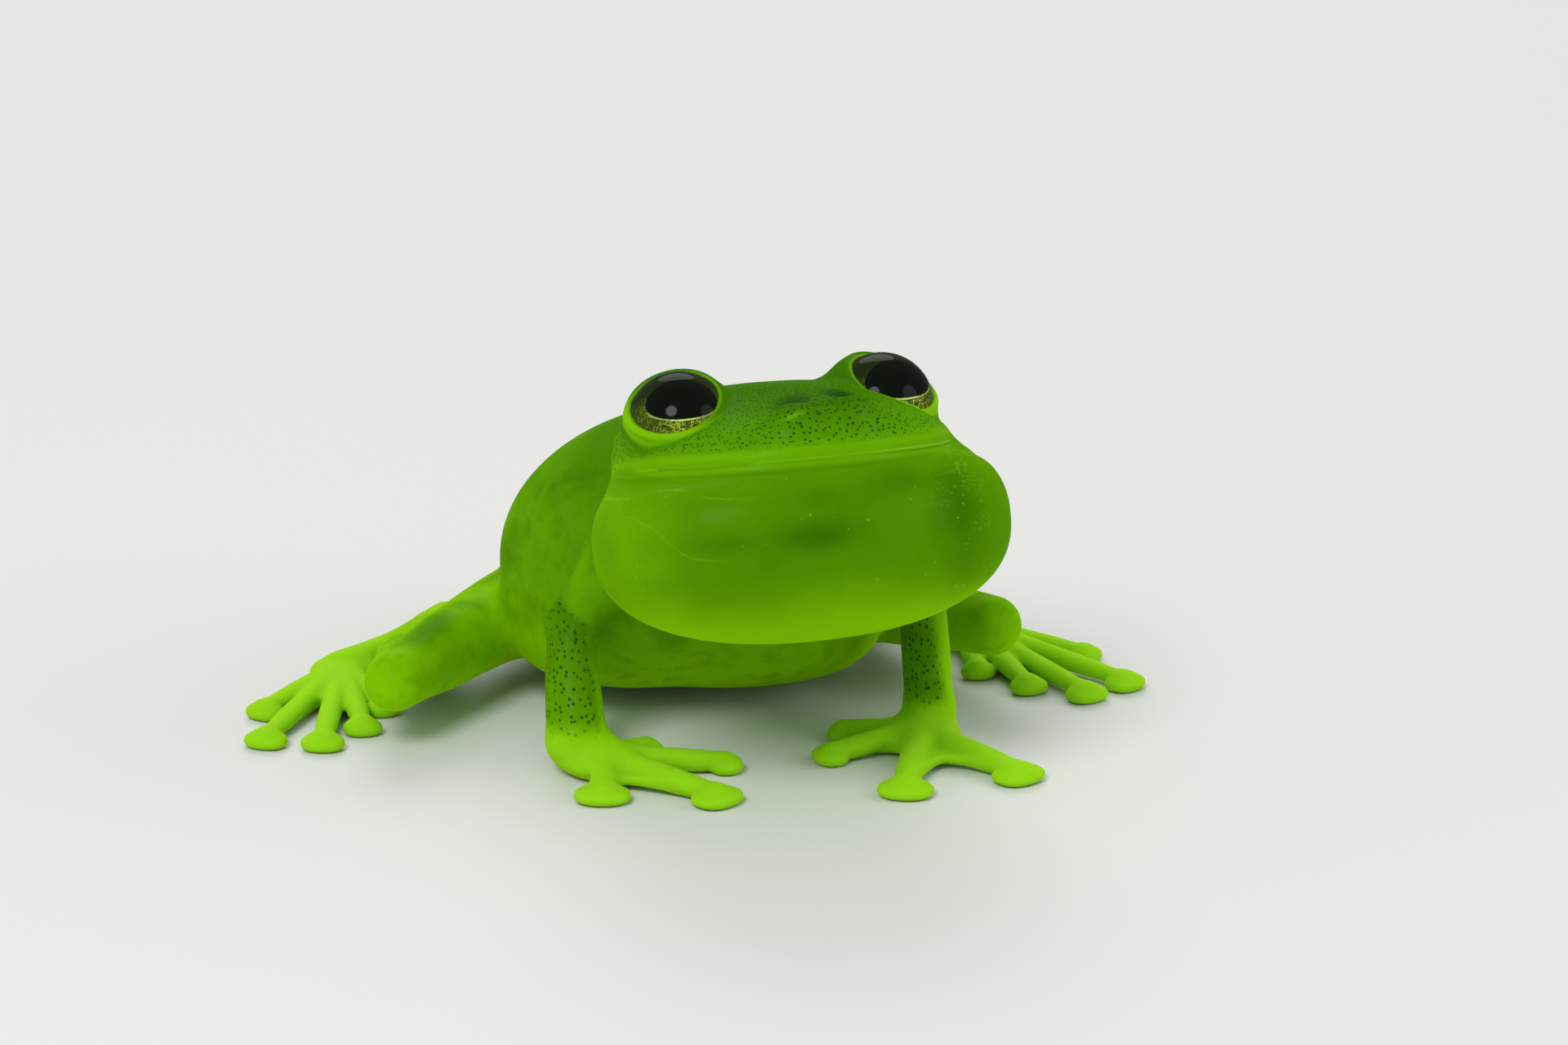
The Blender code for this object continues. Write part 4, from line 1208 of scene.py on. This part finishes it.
def skin_finish():
    skin = Finish(
        "frog_skin",
        IOR=1.38,
        Subsurface_Weight=0.55,
        Subsurface_Radius=(0.6, 1.0, 0.1),
        Subsurface_Scale=0.0007,
        Coat_Roughness=0.2,
        Specular_IOR_Level=0.0,
    )
    names = ("height", "crown", "sac", "spotted", "lids", "rims", "mouth", "forearms")
    height, crown, sac, spotted, lids, rims, mouth, forearms = (skin.mark(name) for name in names)
    cloud = skin.noise(1.9, 3.0)
    # Painted light from below: the skin goes from the bright belly green to the dark back green with
    # height.
    up = height + (cloud - 0.5) * 0.16
    colour = skin.mix(up.step(0.08, 0.4), BELLY_GREEN, FLANK_GREEN)
    colour = skin.mix(up.step(0.42, 0.82), colour, BACK_GREEN)
    # Painted shade on the head: the crown is painted darker than the cheeks.
    colour = skin.mix(spotted, colour, skin.mix(crown, CHEEK_GREEN, CROWN_GREEN))
    mottles = skin.noise(0.5, 2.0).step(0.5, 0.75)
    colour = skin.mix(mottles * (1 - sac) * 0.3, colour, BACK_GREEN)
    patches = skin.noise(1.2, 3.0).step(0.42, 0.68) * (1 - sac) * (1 - spotted) * up.step(0.12, 0.3)
    colour = skin.mix(patches * 0.45, colour, BACK_GREEN)
    layers = (
        # painted shade on the right thigh
        (skin.mark("thigh") * 0.75, CROWN_GREEN),
        (forearms * 0.65, BACK_GREEN),
        (sac, sac_colour(skin)),
        # painted shade round the eyes
        (rims * 0.35, CROWN_GREEN),
        # painted shade in the nostrils' hollows
        (skin.mark("painted_nostril_shade") * 0.95, NOSTRIL_SHADE_GREEN),
        # painted highlight below the right nostril
        (skin.mark("rim") * 0.7, LIP_GREEN),
        (skin.mark("lips") * 0.85, LIP_GREEN),
        # painted shade in the crease under the jaw
        (skin.mark("crease") * 0.25, BACK_GREEN),
        # painted highlight above the mouth's line, then painted shade below it
        (mouth.at_least(0.0) * 0.6, FLECK_GREEN),
        ((mouth * -0.5).at_least(0.0), BACK_GREEN),
        (lids * 0.9, LID_GREEN),
        (skin.mark("hands") * 0.9, HAND_GREEN),
    )
    for share, green in layers:
        colour = skin.mix(share, colour, green)

    places = {axis: skin.mark(name) * PLACE_SCALE * MM for axis, name in (("X", "around"), ("Y", "down"))}
    flat = skin.node("ShaderNodeCombineXYZ", {}, places).outputs[0]
    dot_size = (skin.noise(0.3) - 0.5) * 0.2

    def dotted(spacing, radius):
        return (skin.cells(spacing, place=flat, axes="2D") + dot_size).step(radius + 0.05, radius - 0.04)

    dots = dotted(0.19, 0.18).at_least(dotted(0.14, 0.17) * crown.step(0.3, 0.9) * 0.7)
    dots = dots * spotted * (1 - lids) * (1 - rims * 0.85)
    arm_dots = dotted(0.215, 0.17) * forearms
    colour = skin.mix(dots.at_least(arm_dots) * 0.9, colour, DOT_GREEN)
    # Painted shade inside the lid openings, round the eyeballs.
    colour = skin.mix(skin.mark("sockets"), colour, SOCKET_SHADE)
    rough = 0.46 - sac * 0.08 + (cloud - 0.5) * 0.12
    skin.paint(Base_Color=colour, Roughness=rough, Coat_Weight=0.022 - sac * 0.006)
    grain = skin.noise(0.07, 1.5) * 0.5 + (1 - skin.cells(0.12, "SMOOTH_F1")) * 0.5
    skin.bump(grain * (1 - sac * 0.8), 0.012)
    return skin.material


def eye_finish():
    """Dark wide pupil with a bright thin lower edge; the iris is a fine bright net over brown green, with
    painted light making the net brighter below and painted shade under the upper lid.
    """
    eye = Finish("frog_eye", Roughness=0.4, Specular_IOR_Level=0.0, Coat_Weight=0.16, Coat_Roughness=0.08)
    x, y = (v / MM for v in eye.parts(eye.places)[:2])
    size = ((x / PUPIL_HALF[0]) ** 2 + (y / PUPIL_HALF[1]) ** 2) ** 0.5
    size = size + (eye.noise(0.45) - 0.5) * 0.03
    low = y.step(-0.3, -0.75)
    net = 1 - eye.cells(0.085, "DISTANCE_TO_EDGE", axes="2D").step(0.04, 0.2)
    broken = eye.noise(0.12, 2.0).step(0.42, 0.6)
    lines = abs(eye.noise(0.07, 1.0, place=eye.stretched((0.2, 1.0, 1.0))) - 0.5).step(0.06, 0.0)
    bright = (net * broken).at_least(lines * 0.6)
    ground = eye.mix(eye.noise(0.5, 3.0), IRIS_DARK, IRIS_BROWN)
    near = abs(x + 0.05).step(0.85, 0.15)
    # Painted light from below: the net is brighter low in the iris, most in its middle.
    iris = eye.mix(bright * (0.16 + low * (0.14 + near * 0.6)), ground, IRIS_NET)
    # Painted shade under the upper lid: the upper iris darkened.
    iris = eye.mix(y.step(-0.1, 0.5) * 0.9, iris, IRIS_SHADE)
    rim = abs(size - 1.03).step(0.045, 0.0) * y.step(-0.1, -0.35) * (0.35 + abs(x).step(0.55, 0.1) * 0.65)
    iris = eye.mix(rim, iris, PUPIL_RIM)
    eye.paint(Base_Color=eye.mix(size.step(0.98, 1.01), PUPIL_BLACK, iris))
    return eye.material


# Pieces


def linked(name, data):
    thing = bpy.data.objects.new(name, data)
    bpy.context.scene.collection.objects.link(thing)
    return thing


def placed(name, mesh, material):
    piece = linked(name, mesh)
    mesh.materials.append(material)
    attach(piece, "root")
    return piece


def make_skin():
    net = skin_net()
    mesh = net.mesh("skin")
    add_marks(mesh, skin_marks(net.points))
    piece = placed("skin", mesh, skin_finish())
    flesh = [name for name in frame["nodes"] if not name.startswith("eye")]
    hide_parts(*flesh)


def ball_mesh(name, radius, around=96, along=56, reach=math.radians(125)):
    """The front of an eyeball about the third axis, closed behind."""
    points = [(0, 0, radius)]
    for i in range(1, along + 1):
        tilt = reach * i / along
        wide = radius * math.sin(tilt)
        turns = (2 * math.pi * j / around for j in range(around))
        points += [(wide * math.cos(t), wide * math.sin(t), radius * math.cos(tilt)) for t in turns]
    faces = [(0, 1 + j, 1 + (j + 1) % around) for j in range(around)]
    for i in range(along - 1):
        for j in range(around):
            a, b = 1 + i * around + j, 1 + i * around + (j + 1) % around
            faces.append((a, a + around, b + around, b))
    faces.append(tuple(reversed([1 + (along - 1) * around + j for j in range(around)])))
    mesh = bpy.data.meshes.new(name)
    mesh.from_pydata([[c * MM for c in p] for p in points], [], faces)
    mesh.shade_smooth()
    return mesh


def make_eyes():
    finish = eye_finish()
    for side, name in SIDES.items():
        gaze = eye_frame(side, GAZE_AXIS)
        axes = Matrix(gaze.axes.T.tolist()).to_4x4()
        ball = placed(f"eyeball_{name}", ball_mesh("eyeball", BALL_RADIUS), finish)
        ball.matrix_world = Matrix.Translation(in_frame(gaze.origin)) @ axes
        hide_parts(f"eye_{name}")


# The studio

CAMERA_TURN = math.radians(-16.0)
CAMERA_RISE = math.radians(17.0)
CAMERA_DISTANCE = 216.0
PIXELS_PER_MM = 46.0
PICTURE_WIDTH, PICTURE_HEIGHT = 1920, 1280
SNOUT_PIXEL = (1020, 568)
SENSOR = 36.0


def set_camera():
    a, e = CAMERA_TURN, CAMERA_RISE
    back = Vector((math.sin(a) * math.cos(e), -math.cos(a) * math.cos(e), math.sin(e)))
    right = Vector((math.cos(a), math.sin(a), 0))
    up = back.cross(right)
    place = Vector(HEAD.origin + SHIFT) + back * CAMERA_DISTANCE
    place -= right * (SNOUT_PIXEL[0] - PICTURE_WIDTH / 2) / PIXELS_PER_MM
    place -= up * (PICTURE_HEIGHT / 2 - SNOUT_PIXEL[1]) / PIXELS_PER_MM
    data = bpy.data.cameras.new("camera")
    data.sensor_width = SENSOR
    data.lens = SENSOR * CAMERA_DISTANCE * PIXELS_PER_MM / PICTURE_WIDTH
    data.clip_start = 0.005
    camera = linked("camera", data)
    camera.matrix_world = Matrix.Translation(place * MM) @ Matrix((right, up, back)).transposed().to_4x4()
    bpy.context.scene.camera = camera


def add_lamp(name, place, size, power, aim=(0, 0, 0.006)):
    data = bpy.data.lights.new(name, "AREA")
    data.shape = "DISK"
    data.size = size
    data.energy = power
    lamp = linked(name, data)
    lamp.location = place
    lamp.rotation_euler = (Vector(aim) - Vector(place)).to_track_quat("-Z", "Y").to_euler()


def set_studio():
    mesh = bpy.data.meshes.new("floor")
    half = 1.5
    corners = [(-half, -half, 0), (half, -half, 0), (half, half, 0), (-half, half, 0)]
    mesh.from_pydata(corners, [], [(0, 1, 2, 3)])
    floor = linked("floor", mesh)
    mesh.materials.append(Finish("pale_floor", Roughness=0.8, Base_Color=FLOOR_GREY).material)
    add_lamp("key", (-0.16, -0.2, 0.24), 0.14, 0.62)
    add_lamp("fill", (0.26, -0.16, 0.14), 0.2, 0.22)
    add_lamp("back", (0.05, 0.26, 0.2), 0.2, 0.3)
    world = bpy.data.worlds.new("studio")
    world.use_nodes = True
    world.node_tree.nodes["Background"].inputs[0].default_value = (1.0, 1.0, 1.0, 1)
    world.node_tree.nodes["Background"].inputs[1].default_value = 0.55
    bpy.context.scene.world = world
    bpy.context.scene.view_settings.view_transform = "Standard"


set_camera()
make_skin()
make_eyes()
set_studio()
